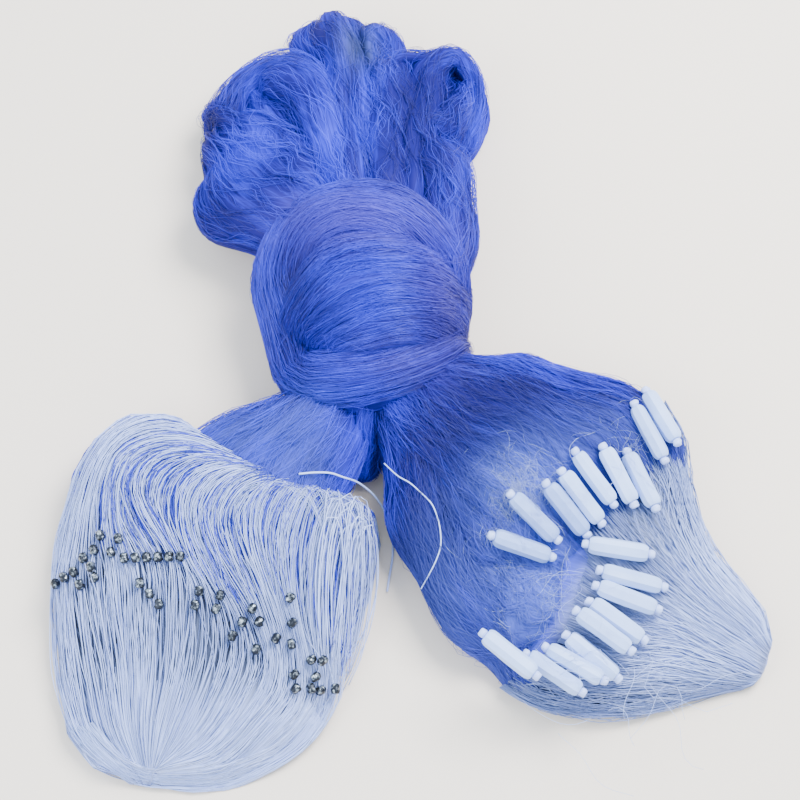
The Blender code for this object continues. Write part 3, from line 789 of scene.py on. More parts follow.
def core(lock, rng, rings=44, sides=52):
    """The mass under a lock's strands: its skin, drawn in a little and furrowed along its length."""
    begin, end = lock.reach
    share = begin + (end - begin) * (0.5 - 0.5 * np.cos(np.linspace(0.04, np.pi - 0.04, rings)))[:, None]
    angle = round_angles(sides)
    furrow = wander(rng, 3)
    proud = FURROW_DEPTH * furrow(np.cos(angle) * 9.0, np.sin(angle) * 9.0, share * 3.0) - CORE_DEPTH
    spots = lock.place(share + 0 * angle, angle + 0 * share, proud)
    girth = lock.read(lock.half, share).mean(axis=-1)
    # A low tone and height paint shade on the mass, so that it shows dark between the strands.
    tone = 0.34 + 0.16 * furrow(np.cos(angle) * 5.0, np.sin(angle) * 5.0, share * 4.0)
    return loft(spots, tone=tone, height=0.2, along=share * lock.length + 0 * angle,
                around=np.abs(angle + np.pi) * girth + rng.uniform(0.0, 500.0))


def region_values(spots):
    """How purple, pale and grey the netting is at places, and how much painted shade falls there. It is
    purple over the top of the knot, at the knot's right side and on its lower band, pale and thin towards
    the floats, at the left leg and under the veil, and greyish at the tip of the tuft. Painted shade
    darkens it in the folds and hollows and over the right leg, and negative shade is painted light on some
    lit locks."""
    x, y, z = from_knot(spots)
    purple = hills(x, y, PURPLE_TOP) * ease(40.0, 70.0, z) + hills(x, y, PURPLE_SIDE) * ease(20.0, 50.0, z)
    legs = ease(-60.0, -110.0, y)
    pale = 0.3 * legs * ease(150.0, 300.0, x - y) + hills(x, y, THIN) + 0.3 * legs * ease(-10.0, -50.0, x)
    # Painted shade over the right leg, with the hills of painted shade and painted light.
    shade = 0.52 * ease(10.0, 40.0, x) * ease(-50.0, -90.0, y) + hills(x, y, PAINTED_SHADE_AND_LIGHT)
    return {"purple": purple + hills(x, y, PURPLE_BAND), "pale": np.clip(pale, 0.0, 1.0),
            "grey": hills(x, y, GREY), "shade": shade}


def netting_piece(name, locks, settings, seed, replaces=()):
    """The cores of a group's locks as one piece, and their strands as another."""
    rng = np.random.default_rng(seed)
    form = joined(*(core(locks[key], rng) for key in GROUPS[name]))
    form.values.update(region_values(form.points))
    put(f"{name}_mass", form, nylon_finish(settings, f"{name} mass", 2.0), replaces)
    strand = settings.strand * FINENESS[name]
    bundles = []
    for key in GROUPS[name]:
        others = [lock for other, lock in locks.items() if other != key]
        strands = combed(key, locks[key], others, settings.density, rng)
        hairs = flyaways(locks[key], others, FLYAWAYS[name], rng)
        for (paths, values), thickness in ((strands, strand), (hairs, strand * 0.7)):
            if not len(paths):
                continue
            taper = 0.4 + 0.6 * np.sin(np.linspace(0.05, np.pi - 0.05, paths.shape[1])) ** 0.5
            radius = thickness / 2 / MM * taper[None, :] * rng.uniform(0.75, 1.3, (len(paths), 1))
            bundles.append(tubes(paths, radius, **values))
    form = joined(*bundles)
    form.values.update(region_values(form.points))
    put(f"{name}_strands", form, nylon_finish(settings, f"{name} strands", 0.0))


# ---------------------------------------------------------------- lines

def swayed(plan, amount, sway, at, own):
    """x and y of lines that sway about their plan, each in its own way."""
    x = plan[..., 0] + KNOT[0] + amount * sway(at, own)
    y = plan[..., 1] + KNOT[1] + amount * sway(at + 30.0, own)
    return x, y


def sheaf(skein, guides, count, stations, rng, low=0.0, jitter=1.0, bundles=0.0, start=0.0, stop=(1.0, 1.0),
          dive=0.0, drift=0.0, windows=0.0):
    """Lines between the first guide and the last, laid on a skein from start to somewhere within stop.

    A line keeps its rank between the guides but for three things. Bundles draws lines together towards
    their far end: rank less a sine of itself. Windows parts those of the later guides into strips with
    gaps between them. Drift lets each go its own way, more along it and least by the last guides. They
    sway a little, their height is the skein's top less low, and over the last seventh of their length
    they dive into what lies there.
    """
    fine = GUIDE_STATIONS
    rows = np.array([smooth([(*spot, 0.0) for spot in guide], fine)[:, :2] for guide in guides])
    t = shares(stations)
    begin = start + 0.04 * rng.uniform(0.0, 1.0, (count, 1)) * (start > 0.0)
    at = begin + (rng.uniform(*stop, (count, 1)) - begin) * t
    last = len(guides) - 1.0
    rank = np.sort(rng.uniform(0.0, last, count))[:, None]
    pitch = 2 * np.pi * BUNDLES_A_GUIDE
    rank = rank - bundles * ease(0.2, 0.75, at) * np.sin(pitch * rank + 2.0 * at) / pitch
    gap = 2 * np.pi / GUIDES_A_WINDOW
    rank = rank + windows * ease(0.36, 0.6, at) * ease(1.5, 3.5, rank) * np.sin(gap * (rank - 4.2)) / gap
    drift = drift * (1.0 - 0.8 * ease(0.72, 0.85, rank / last))
    rank = rank + drift * rng.normal(0.0, 1.0, (count, 1)) * ease(0.05, 0.5, at)
    rank = np.clip(rank, 0.0, last - 0.001)
    guide, station = rank.astype(int), np.minimum((at * (fine - 1)).astype(int), fine - 2)
    f, g = (rank - guide)[..., None], (at * (fine - 1) - station)[..., None]
    near, far = (rows[row, station] * (1.0 - g) + rows[row, station + 1] * g for row in (guide, guide + 1))
    sway, own = wander(rng), ranks(count)
    free = jitter * np.sin(np.pi * np.clip(at, 0.0, 1.0)) ** 0.7
    x, y = swayed(near * (1.0 - f) + far * f, free, sway, at * 7.0, own)
    z = skein.top(x, y) - low * rng.uniform(0.4, 1.6, (count, 1))
    z = z + 0.8 * jitter * sway(at * 5.0 + 60.0, own) - dive * ease(0.86, 1.0, t)
    return grounded(x, y, z, LINE_GAP)


def skirt(skein, count, stations, rng, first=None, past=0.0, highest=0.55):
    """Lines along both sides of a skein, from the distance first off its nose to past its last section.

    Each keeps its share q of the height, at most the highest, sways a little, and lies on the side at
    (1 - q^2.6)^(1/2.6) of the half width. Its ends are tucked under.
    """
    first = skein.first if first is None else first
    last = skein.last + past
    t = shares(stations)
    length = (last - first) * rng.uniform(0.4, 0.95, (count, 1))
    run = first + (last - first - length) * rng.uniform(0.0, 1.0, (count, 1)) + length * t
    side = np.where(np.arange(count) % 2 == 0, 1.0, -1.0)[:, None]
    shift, width, _ = skein.section(run)
    sway, own = wander(rng), ranks(count)
    level = rng.uniform(0.03, highest, (count, 1)) + 0.05 * sway(run / 24.0 + 50.0, own)
    level = np.clip(level, 0.03, 0.9)
    tuck = 1.0 - np.sin(np.pi * t) ** 0.12
    out = shouldered(level) * width * 0.98 - 8.0 * tuck + 0.5 * sway(run / 30.0, own)
    x, y = skein.spot(run, shift + side * out)
    z = skein.top(*skein.spot(run, shift)) * level * (1.0 - 0.5 * tuck)
    return grounded(x, y, z, SKIRT_GAP)


def hairpins(skein, count, stations, rng):
    """Narrow loops of line that stand over a skein, each between two neighbouring guides."""
    rows = np.array([smooth(guide, stations) for guide in HAIRPIN_GUIDES])
    rank = rng.uniform(1.2, len(rows) - 1.001, count)
    guide = rank.astype(int)
    f = (rank - guide)[:, None, None]
    spots = rows[guide] * (1.0 - f) + rows[guide + 1] * f
    middle = spots.mean(axis=1, keepdims=True)
    spots = middle + (spots - middle) * rng.uniform((0.6, 0.8, 0.5), (1.2, 1.2, 1.6), (count, 1, 3))
    spots = spots + rng.uniform((-2.0, -18.0, 0.0), (5.0, 2.0, 0.0), (count, 1, 3))
    t = shares(stations)
    x, y = swayed(spots, 0.9, wander(rng), t * 3.0, ranks(count))
    z = skein.top(x, y) + spots[..., 2] + 1.0 - 3.0 * (1.0 - np.sin(np.pi * t) ** 0.3)
    return grounded(x, y, z, LINE_GAP)


def curls(surface, patches, stations, rng):
    """Curly threads that lie about on a surface, and which of the threads asked for they are. A thread's
    heading wanders as it goes, its places are the running sum of its headings, and it arches a little
    over the surface between its tucked ends. One that would hang down a steep side is left out."""
    starts, headings, lengths = [], [], []
    for x, y, spread, count, heading, shortest, longest, *_ in patches:
        starts.append(np.array((x, y)) + rng.normal(size=(count, 2)) * spread)
        headings.append(np.radians(heading) + rng.normal(0.0, 0.7, count))
        lengths.append(rng.uniform(shortest, longest, (count, 1)))
    starts, length = np.concatenate(starts) + KNOT[:2], np.concatenate(lengths)
    mean = np.concatenate(headings)[:, None]
    count = len(starts)
    t = shares(stations)
    bend = wander(rng)
    heading = mean + 0.7 * bend(t * length / 26.0, ranks(count, 7.3))
    step = length / (stations - 1)
    x = starts[:, :1] + np.cumsum(np.cos(heading) * step, axis=1) - length / 2 * np.cos(mean)
    y = starts[:, 1:] + np.cumsum(np.sin(heading) * step, axis=1) - length / 2 * np.sin(mean)
    z = surface(x, y) - 1.2 + rng.uniform(1.5, 3.5, (count, 1)) * np.sin(np.pi * t) ** 0.5
    paths = grounded(x, y, z, THREAD_GAP)
    kept = np.abs(np.diff(paths[..., 2], axis=1)).max(axis=1) < STEEPEST_STEP
    return paths[kept], kept


def through(paths, places, reach=12.0):
    """Bend the nearest line towards each place so that it runs through it, by a bell curve along the
    line."""
    for place in places:
        away = np.linalg.norm(paths - place, axis=2)
        line, station = np.unravel_index(np.argmin(away), away.shape)
        run = way_along(paths[line])
        bell = np.exp(-((run - run[station]) / reach) ** 2)
        paths[line] += bell[:, None] * (place - paths[line, station])
    return paths


def spread_tone(rng, paths, low, high):
    """One number for each line, between low and high."""
    return np.broadcast_to(rng.uniform(low, high, (len(paths), 1)), paths.shape[:2])


def line_tubes(radius, rng, rows):
    """Sheaves as one form. A row has its paths, their radius as a share of the usual one, the least and
    the greatest tone of a line, and how much darker each place is."""
    forms = []
    for paths, share, low, high, darker in rows:
        forms.append(tubes(paths, radius * share, tone=spread_tone(rng, paths, low, high) - darker))
    return joined(*forms)


# ---------------------------------------------------------------- finishes

class Signal:
    """A number that varies over a surface. Arithmetic on it adds Math nodes."""

    def __init__(self, finish, socket):
        self.finish = finish
        self.socket = socket

    def math(self, operation, first, second):
        """The result of a Math node."""
        return self.finish.node("ShaderNodeMath", {"operation": operation}, {0: first, 1: second})

    def __add__(self, other):
        return self.math("ADD", self, other)

    def __sub__(self, other):
        return self.math("SUBTRACT", self, other)

    def __rsub__(self, other):
        return self.math("SUBTRACT", other, self)

    def __mul__(self, other):
        return self.math("MULTIPLY", self, other)

    __radd__ = __add__
    __rmul__ = __mul__


class Finish:
    """A material whose nodes are added by node, and whose colours are mixed by mix."""

    def __init__(self, name, **constants):
        self.material = bpy.data.materials.new(name)
        self.material.use_nodes = True
        self.tree = self.material.node_tree
        self.shader = self.tree.nodes["Principled BSDF"]
        for socket, value in constants.items():
            self.shader.inputs[socket.replace("_", " ")].default_value = value

    def node(self, kind, settings, values, output=0):
        """Any node: its settings and a ramp's stops first, then its sockets' numbers, colours or links."""
        made = self.tree.nodes.new(kind)
        for place, stop in enumerate(settings.pop("stops", ())):
            made.color_ramp.elements[place].position = stop
        for key, value in settings.items():
            setattr(made, key, value)
        for key, value in values.items():
            if isinstance(value, Signal):
                self.tree.links.new(value.socket, made.inputs[key])
            else:
                made.inputs[key].default_value = value
        return Signal(self, made.outputs[output])

    def number(self, name):
        """A number that the mesh holds at each point."""
        return self.node("ShaderNodeAttribute", {"attribute_name": name}, {}, "Fac")

    def grain(self, across, along, detail):
        """Streaks: noise over two numbers."""
        vector = self.node("ShaderNodeCombineXYZ", {}, {0: across, 1: along})
        return self.noise(1.0, detail, vector)

    def noise(self, scale, detail, vector=None):
        """A cloudy pattern from 0 to 1, over the place of a surface point unless a vector is given."""
        vector = vector or self.node("ShaderNodeTexCoord", {}, {}, "Object")
        return self.node("ShaderNodeTexNoise", {}, {"Scale": scale, "Detail": detail, "Vector": vector})

    def mix(self, factor, first, second):
        """A colour between two colours."""
        return self.node("ShaderNodeMix", {"data_type": "RGBA"}, {0: factor, 6: first, 7: second}, 2)

    def bump(self, height, strength, distance):
        """Relief of a pattern, its distance in metres."""
        values = {"Strength": strength, "Distance": distance, "Height": height}
        self.set("Normal", self.node("ShaderNodeBump", {}, values))

    def set(self, socket, value):
        """Link a colour, a number or a normal to the shader."""
        self.tree.links.new(value.socket, self.shader.inputs[socket])


def nylon_finish(settings, name, relief):
    """Fine dyed nylon, mixed from the deep colour to the blue by a lightness: each strand's own tone, its
    streaks and clouds, painted shade between the strands, on the mass under them and where the mesh's shade
    says, and painted light on strands that stand high. Then purple, greyish or pale where the mesh says so.
    Relief is the depth of its streaks in tenths of a millimetre."""
    finish = Finish(name, Roughness=0.7 if relief else 0.45, Specular_IOR_Level=0.08 if relief else 0.28)
    streak = finish.grain(finish.number("around") * 0.6, finish.number("along") * 0.03, 4.0)
    cloud = finish.noise(30.0, 2.0)
    # Height paints light on strands high on the pile; shade paints shade, and light where it is negative.
    lightness = finish.number("tone") * 0.7 + finish.number("height") * 0.38 + (streak - 0.5) * 1.7
    lightness = lightness + (cloud - 0.5) * 0.8 - finish.number("shade") * 0.8 - 0.13
    colour = finish.mix(lightness, settings.deep, settings.blue)
    colour = finish.mix(finish.number("purple") * 0.8, colour, settings.purple)
    colour = finish.mix(finish.number("grey"), colour, settings.grey)
    finish.set("Base Color", finish.mix(finish.number("pale"), colour, settings.pale))
    if relief:
        finish.bump(streak, 1.0, relief * 0.1 * MM)
    return finish.material


def line_finish(settings, name="pale line"):
    """Smooth pale line, greyed towards the shade colour by a low tone: painted shade where it lies deep in
    the sheaf.
    """
    finish = Finish(name, Roughness=0.35)
    finish.set("Base Color", finish.mix(finish.number("tone"), settings.shade, settings.colour))
    return finish.material


def sheaf_finish(settings, netting, name):
    """The inside of a skein: lines in deep shade, and blue netting where it shows between them."""
    finish = Finish(name, Roughness=0.6, Specular_IOR_Level=0.2)
    streak = finish.grain(finish.number("fan"), finish.number("run") * 0.02, 3.0)
    colour = finish.mix(finish.number("tone") + (streak - 0.5) * 0.9, settings.deep, settings.colour)
    blue = finish.mix(streak * 1.6 - 0.4, netting.deep, netting.blue)
    blue = finish.mix(0.35, blue, netting.pale)
    finish.set("Base Color", finish.mix(finish.number("netting"), colour, blue))
    return finish.material


def foam_finish(settings):
    """Closed-cell foam: pale, soiled in clouds and more on some floats than on others, faintly pitted."""
    finish = Finish("float foam", Roughness=0.55)
    clean = finish.number("tone") * 0.7 + finish.noise(60.0, 3.0) * 0.6 - 0.15
    finish.set("Base Color", finish.mix(clean, settings.foam_shade, settings.foam))
    finish.bump(finish.noise(1400.0, 2.0), 0.35, 0.3 * MM)
    return finish.material


def lead_finish(settings):
    """Cast lead: a dull colour with cloudy patches of a bright one as painted highlights, glossier in those
    patches, and finely dented.
    """
    finish = Finish("cast lead", Metallic=0.85)
    cloud = finish.noise(380.0, 3.0)
    # Clouds of the bright colour are painted highlights, standing in for glints on the metal.
    painted_highlights = finish.node("ShaderNodeValToRGB", {"stops": (0.5, 0.68)}, {0: cloud})
    finish.set("Base Color", finish.mix(painted_highlights, settings.dull, settings.bright))
    finish.set("Roughness", 0.42 - cloud * 0.2)
    finish.bump(finish.noise(650.0, 2.0), 0.8, 0.6 * MM)
    return finish.material


# ---------------------------------------------------------------- settings

def colour(name, description, default):
    """A colour of the settings."""
    return bpy.props.FloatVectorProperty(
        name=name, description=description, default=(*default, 1.0), size=4, min=0.0, max=1.0,
        subtype="COLOR")


def length(name, description, default):
    """A length of the settings, in metres."""
    return bpy.props.FloatProperty(
        name=name, description=description, default=default, min=0.0, unit="LENGTH", precision=4)


def number(name, description, default, least=0.0, **more):
    """Any other number of the settings."""
    return bpy.props.FloatProperty(name=name, description=description, default=default, min=least, **more)


def line_count(name, description, default):
    """How many lines a skein has."""
    return bpy.props.IntProperty(name=name, description=description, default=default, min=20, max=600)


class NettingSettings(bpy.types.PropertyGroup):
    """The netting's dyes and its strands."""
    blue: colour("Blue", "Dye of the netting in the light", (0.036, 0.040, 0.80))
    # Deep blue is partly the dark end of the strands' own tone and partly painted shade: between the
    # strands, on the mass under them and in the folds.
    deep: colour("Deep blue", "Dye between the strands", (0.011, 0.008, 0.14))
    purple: colour("Purple", "Tinge over the top of the knot", (0.082, 0.055, 0.48))
    grey: colour("Grey", "Undyed netting at the tip of the tuft", (0.05, 0.068, 0.15))
    pale: colour("Pale", "Netting so thin that it hardly shows its dye", (0.12, 0.175, 0.70))
    strand: length("Strand", "Thickness of a gathered strand", 0.00046)
    density: number("Density", "Strands, as a share of the usual", 1.0, 0.1, max=1.5, subtype="FACTOR")


class LineSettings(bpy.types.PropertyGroup):
    """The lines of both skeins."""
    colour: colour("Line", "Colour of the lines", (0.52, 0.61, 1.0))
    # Shade is the colour that a low tone greys a line towards, painted shade on lines low in a sheaf; deep
    # is painted shade inside the sheaf between the lines.
    shade: colour("Shade", "Colour of lines low in a sheaf", (0.18, 0.235, 0.50))
    deep: colour("Deep", "Colour between the lines", (0.028, 0.034, 0.06))
    thickness: length("Thickness", "Thickness of a line", 0.00085)
    lead_lines: line_count("Lead line turns", "Lines in the lead line's skein", 330)
    float_lines: line_count("Float line turns", "Lines in the float line's skein", 300)


class FloatSettings(bpy.types.PropertyGroup):
    """The foam floats."""
    foam: colour("Foam", "Colour of the foam", (0.50, 0.64, 0.98))
    foam_shade: colour("Foam shade", "Colour of soiled foam", (0.24, 0.34, 0.68))
    body: length("Body", "Length of a float's foam", 0.043)
    width: length("Width", "Width of a float", 0.0125)
    nib: length("Nib", "Length of the bound line at each end", 0.0055)


class LeadSettings(bpy.types.PropertyGroup):
    """The leads."""
    # Bright is the colour of painted highlights on the lead.
    bright: colour("Bright", "Rubbed lead", (0.40, 0.44, 0.48))
    dull: colour("Dull", "Weathered lead", (0.03, 0.032, 0.04))
    barrel: length("Barrel", "Length of a lead", 0.0076)
    radius: length("Radius", "Radius of a lead", 0.0032)


class StageSettings(bpy.types.PropertyGroup):
    """The floor, the light and the camera."""
    floor: colour("Floor", "Colour of the floor", (0.90, 0.74, 0.60))
    reach: length("Floor reach", "Distance from the middle to an edge of the floor", 20.0)
    tint: colour("Sky tint", "Colour of the light from all round", (0.66, 0.82, 1.0))
    lens: number("Lens", "Focal length in millimetres", 96.0, 20.0)
    distance: length("Distance", "Camera to the middle of the net", 1.6)
    elevation: number("Elevation", "Camera above the horizon", math.radians(68.0), subtype="ANGLE")
    sky: number("Sky", "Strength of the light from all round", 2.25)
    key: number("Key", "Power of the main lamp in watts", 84.0)


class NetSettings(bpy.types.PropertyGroup):
    """Everything that can be set."""
    netting: bpy.props.PointerProperty(type=NettingSettings)
    line: bpy.props.PointerProperty(type=LineSettings)
    float: bpy.props.PointerProperty(type=FloatSettings)
    lead: bpy.props.PointerProperty(type=LeadSettings)
    stage: bpy.props.PointerProperty(type=StageSettings)


# ---------------------------------------------------------------- operators

def stand(name, data, place, away):
    """Put a lamp or a camera at a place so that it faces along away."""
    item = bpy.data.objects.new(name, data)
    bpy.context.scene.collection.objects.link(item)
    item.location = place
    item.rotation_euler = away.to_track_quat("-Z", "Y").to_euler()
    return item


class TRAMMEL_OT_stage(bpy.types.Operator):
    """Lay the floor, hang the lamps and set up the camera"""
    bl_idname = "trammel.stage"
    bl_label = "Stage"

    def execute(self, context):
        settings = context.scene.trammel_net.stage
        mesh = bpy.data.meshes.new("floor")
        reach = settings.reach
        corners = [(-reach, -reach, 0.0), (reach, -reach, 0.0), (reach, reach, 0.0), (-reach, reach, 0.0)]
        mesh.from_pydata(corners, [], [(0, 1, 2, 3)])
        finish = Finish("floor", Roughness=0.9)
        finish.shader.inputs["Base Color"].default_value = settings.floor
        mesh.materials.append(finish.material)
        piece = bpy.data.objects.new("floor", mesh)
        context.scene.collection.objects.link(piece)

        world = bpy.data.worlds.new("soft sky")
        world.use_nodes = True
        world.node_tree.nodes["Background"].inputs["Color"].default_value = settings.tint
        world.node_tree.nodes["Background"].inputs["Strength"].default_value = settings.sky
        context.scene.world = world
        for name, place, size, share, tint in LAMPS:
            light = bpy.data.lights.new(name, "AREA")
            light.energy = settings.key * share
            light.size = size
            light.color = tint
            stand(name, light, place, AIM - Vector(place))

        camera = bpy.data.cameras.new("camera")
        camera.lens = settings.lens
        camera.sensor_width = 36.0
        camera.clip_end = 60.0
        back = Vector((0.0, -math.cos(settings.elevation), math.sin(settings.elevation)))
        context.scene.camera = stand("camera", camera, AIM + back * settings.distance, -back)
        return {"FINISHED"}


class TRAMMEL_OT_loose_lines(bpy.types.Operator):
    """Lay the line's loose end and the stray thread"""
    bl_idname = "trammel.loose_lines"
    bl_label = "Loose lines"

    def execute(self, context):
        finish = line_finish(context.scene.trammel_net.line)
        for name, form in LOOSE_LINES.items():
            path = smooth(form["route"], 90) + KNOT
            tube = tubes(path[None], form["diameter"] / 2, sides=10, tone=0.9)
            piece = put(form["piece"], tube, finish, (name,))
        return {"FINISHED"}


class TRAMMEL_OT_netting(bpy.types.Operator):
    """Gather the netting into its knot, its loops and its two legs"""
    bl_idname = "trammel.netting"
    bl_label = "Netting"

    def execute(self, context):
        settings = context.scene.trammel_net.netting
        locks = all_locks()
        for seed, group in enumerate(GROUPS, start=11):
            replaces = ("netting",) if group == "knot" else ()
            netting_piece(group, locks, settings, seed, replaces)
        return {"FINISHED"}


def skein_core(name, skein, tones, replaced, finish, rng):
    """The inside of a skein: at each station a section whose top is a few millimetres under the skein's,
    furrowed along the lines, closed by a flat underside and rounded at the nose. Tones gives how bright
    it is and how much netting shows at a distance from the nose and a share of the half width."""
    first, last = skein.front + 2.0, skein.last + 4.0
    run = np.linspace(first, last, 84)[:, None]
    closing = quarter_round(((first + NOSE_ROUND - run) / NOSE_ROUND).clip(0.0, 1.0), 0.02)
    shift, width, _ = skein.section(run)
    angle = np.linspace(np.pi, 0.0, 90)[None, :]
    share = np.sign(np.cos(angle)) * np.abs(np.cos(angle)) ** (2.0 / SHOULDER)
    lateral = shift + share * width * 0.96 * closing
    x, y = skein.spot(run, lateral)
    furrow = wander(rng)
    fan = np.arctan2(lateral, run + 40.0)
    z = skein.top(x, y) * np.abs(np.sin(angle)) ** 0.2 * closing - TUCK_DEPTH
    z = z + 0.8 * furrow(fan * 60.0, run / 90.0)
    tone, netting = tones(run, share)
    form = loft(grounded(x, y, z), tone=tone, netting=netting, fan=fan * 110.0, run=run + 0 * fan)
    put(name, form, finish, (replaced,))


class TRAMMEL_OT_lead_line(bpy.types.Operator):
    """Hang the lead line's skein over the left leg"""
    bl_idname = "trammel.lead_line"
    bl_label = "Lead line"

    def execute(self, context):
        settings = context.scene.trammel_net
        rng = np.random.default_rng(21)
        skein = Skein(SKEINS["lead_line_skein"])

        def tones(run, share):
            """Painted shade darkens it from 42 to 88 mm off the nose, and it grows blue from 120 to 200 mm.
            """
            bright = 1.0 - 0.9 * ease(42.0, 88.0, run)
            netting = ease(120.0, 200.0, run + 60.0 * share)
            return np.broadcast_arrays(bright, netting)

        inside = sheaf_finish(settings.line, settings.netting, "inner lead lines")
        skein_core("lead_line_inside", skein, tones, "lead_line_skein", inside, rng)
        lines = settings.line.lead_lines
        over = sheaf(skein, LEAD_GUIDES, lines, 34, rng, low=0.5, jitter=1.2, bundles=0.75,
                     stop=(0.80, 0.99), dive=16.0, drift=0.24, windows=0.75)
        places = [bar_frame(name)[0] for name in bar_names("lead")]
        over = through(over, places + [np.array(row) + KNOT for row in HIDDEN_LEADS])
        under = sheaf(skein, LEAD_GUIDES, lines // 2, 28, rng, low=2.0, jitter=2.0, bundles=0.5,
                      stop=(0.70, 0.96), dive=12.0, drift=0.4, windows=0.6)
        nose = sheaf(skein, LEAD_GUIDES, lines // 2, 12, rng, low=1.4, jitter=0.5,
                     stop=(0.10, 0.26), dive=1.5)
        rim = sheaf(skein, NOSE_GUIDES, 56, 22, rng, low=-0.3, jitter=0.6, drift=0.25)
        band = sheaf(skein, LEAD_GUIDES[6:], 84, 34, rng, low=0.2, jitter=0.5, stop=(0.9, 0.99), dive=14.0)
        pins = hairpins(skein, 18, 26, rng)
        sides = skirt(skein, 130, 26, rng)
        x, y, _ = from_knot(over)
        bluish = 0.5 * ease(-80.0, -40.0, x) * ease(-300.0, -250.0, y) + hills(x, y, BLUISH_OVER)
        deep = hills(*from_knot(under)[:2], DEEP_UNDER)
        # Rows that lie lower in the sheaf get lower tones, painted shade; the lower lines darken further
        # where they lie in the dark.
        form = line_tubes(settings.line.thickness / 2 / MM, rng, [
            (over, 0.93, 0.7, 1.0, bluish),
            (rim, 1.0, 0.6, 1.0, 0.0),
            (band, 0.9, 0.4, 0.8, 0.0),
            (under, 0.9, 0.2, 0.8, deep),
            (nose, 1.0, 0.8, 1.0, 0.0),
            (pins, 1.0, 0.7, 1.0, 0.0),
            (sides, 1.0, 0.3, 0.9, 0.0),
        ])
        put("lead_line_turns", form, line_finish(settings.line, "lead line"))

        hair = sheaf(skein, LEAD_GUIDES[2:], 340, 16, rng, low=1.4, jitter=2.6, start=0.42,
                     stop=(0.60, 0.95), dive=4.0)
        hair = np.concatenate([hair, skirt(skein, 140, 16, rng, first=170.0, past=3.0, highest=0.85)])
        tone = spread_tone(rng, hair, 0.2, 1.0)
        around = spread_tone(rng, hair, 0.0, 900.0)
        form = tubes(hair, settings.netting.strand / 2 / MM, tone=tone, height=0.7, around=around,
                     along=np.linspace(0.0, 120.0, 16))
        form.values.update(region_values(form.points))
        form.values["shade"] = 0.0 * form.values["shade"]
        form.values["pale"] = form.values["pale"] * 0.5 + 0.15
        finish = nylon_finish(settings.netting, "netting among the lines", 0.0)
        put("lead_line_netting", form, finish)
        return {"FINISHED"}


class TRAMMEL_OT_float_line(bpy.types.Operator):
    """Lay the float line's skein beyond the right leg"""
    bl_idname = "trammel.float_line"
    bl_label = "Float line"

    def execute(self, context):
        settings = context.scene.trammel_net
        rng = np.random.default_rng(31)
        skein = Skein(SKEINS["float_line_skein"])

        def tones(run, share):
            """Painted shade darkens it from 70 to 130 mm off the nose and at its left, and it grows blue
            from 132 to 160 mm.
            """
            bright = 1.0 - 0.65 * ease(70.0, 130.0, run) - 0.7 * ease(0.45, 0.9, -share)
            netting = ease(132.0, 160.0, run)
            return np.broadcast_arrays(bright, netting)

        def painted_line_shade(paths):
            """How much painted shade darkens lines towards the leg and at the skein's left."""
            run, share = skein.coordinates(paths[..., 0], paths[..., 1])
            return 0.7 * ease(60.0, 130.0, run) + 0.6 * ease(0.5, 0.95, -share)

        inside = sheaf_finish(settings.line, settings.netting, "inner float lines")
        skein_core("float_line_inside", skein, tones, "float_line_skein", inside, rng)
        lines = settings.line.float_lines
        over = sheaf(skein, FLOAT_GUIDES, lines, 22, rng, low=0.8, jitter=1.2, bundles=0.3, drift=0.2)
        under = sheaf(skein, FLOAT_GUIDES, lines, 18, rng, low=2.2, jitter=2.0, drift=0.5)
        sides = skirt(skein, 90, 20, rng)
        # Lines are greyed by painted shade towards the leg and at the skein's left, and the lower rows
        # more.
        form = line_tubes(settings.line.thickness / 2 / MM * 0.85, rng, [
            (over, 1.0, 0.6, 1.0, painted_line_shade(over)),
            (under, 0.9, 0.3, 0.8, painted_line_shade(under)),
            (sides, 1.0, 0.3, 0.9, 0.0),
        ])
        put("float_line_turns", form, line_finish(settings.line, "float line"))
        return {"FINISHED"}


def bar_names(kind):
    """The CAD nodes of the leads or of the floats, in the order of their numbers."""
    return sorted(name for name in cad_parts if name.startswith(kind + "_") and name[-1].isdigit())


def read_all(items, key, width):
    """A property of all the vertices or all the faces of a mesh, in rows."""
    values = np.empty(len(items) * width, np.float32)
    items.foreach_get(key, values)
    return values.reshape(-1, width).astype(float)


def bar_frame(name):
    """Middle of a laid bar in millimetres, and its directions: along it, across it and out of its upper
    face."""
    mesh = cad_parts[name].data
    points = read_all(mesh.vertices, "co", 3)
    middle = (points.min(axis=0) + points.max(axis=0)) / 2
    spread = points - points.mean(axis=0)
    along = np.linalg.eigh(spread.T @ spread)[1][:, -1]
    normals = read_all(mesh.polygons, "normal", 3)
    areas = read_all(mesh.polygons, "area", 1)[:, 0]
    level = np.abs(normals @ along) < 0.1
    best = np.argmax(np.where(level & (areas > 0.5 * areas.max()), normals[:, 2], -1.0))
    up = unit(normals[best] - along * (normals[best] @ along))
    return middle / MM, along, np.cross(up, along), up


def placed(spots, name):
    """Spots of a bar that lies along X, moved to where a CAD node lies."""
    middle, *axes = bar_frame(name)
    return middle + spots @ np.stack(axes)


def rings(x, size, angle):
    """Rings of a bar that lies along X: x, size cos(a), size sin(a)."""
    return np.stack([x + 0 * angle, size * np.cos(angle), size * np.sin(angle)], axis=-1)


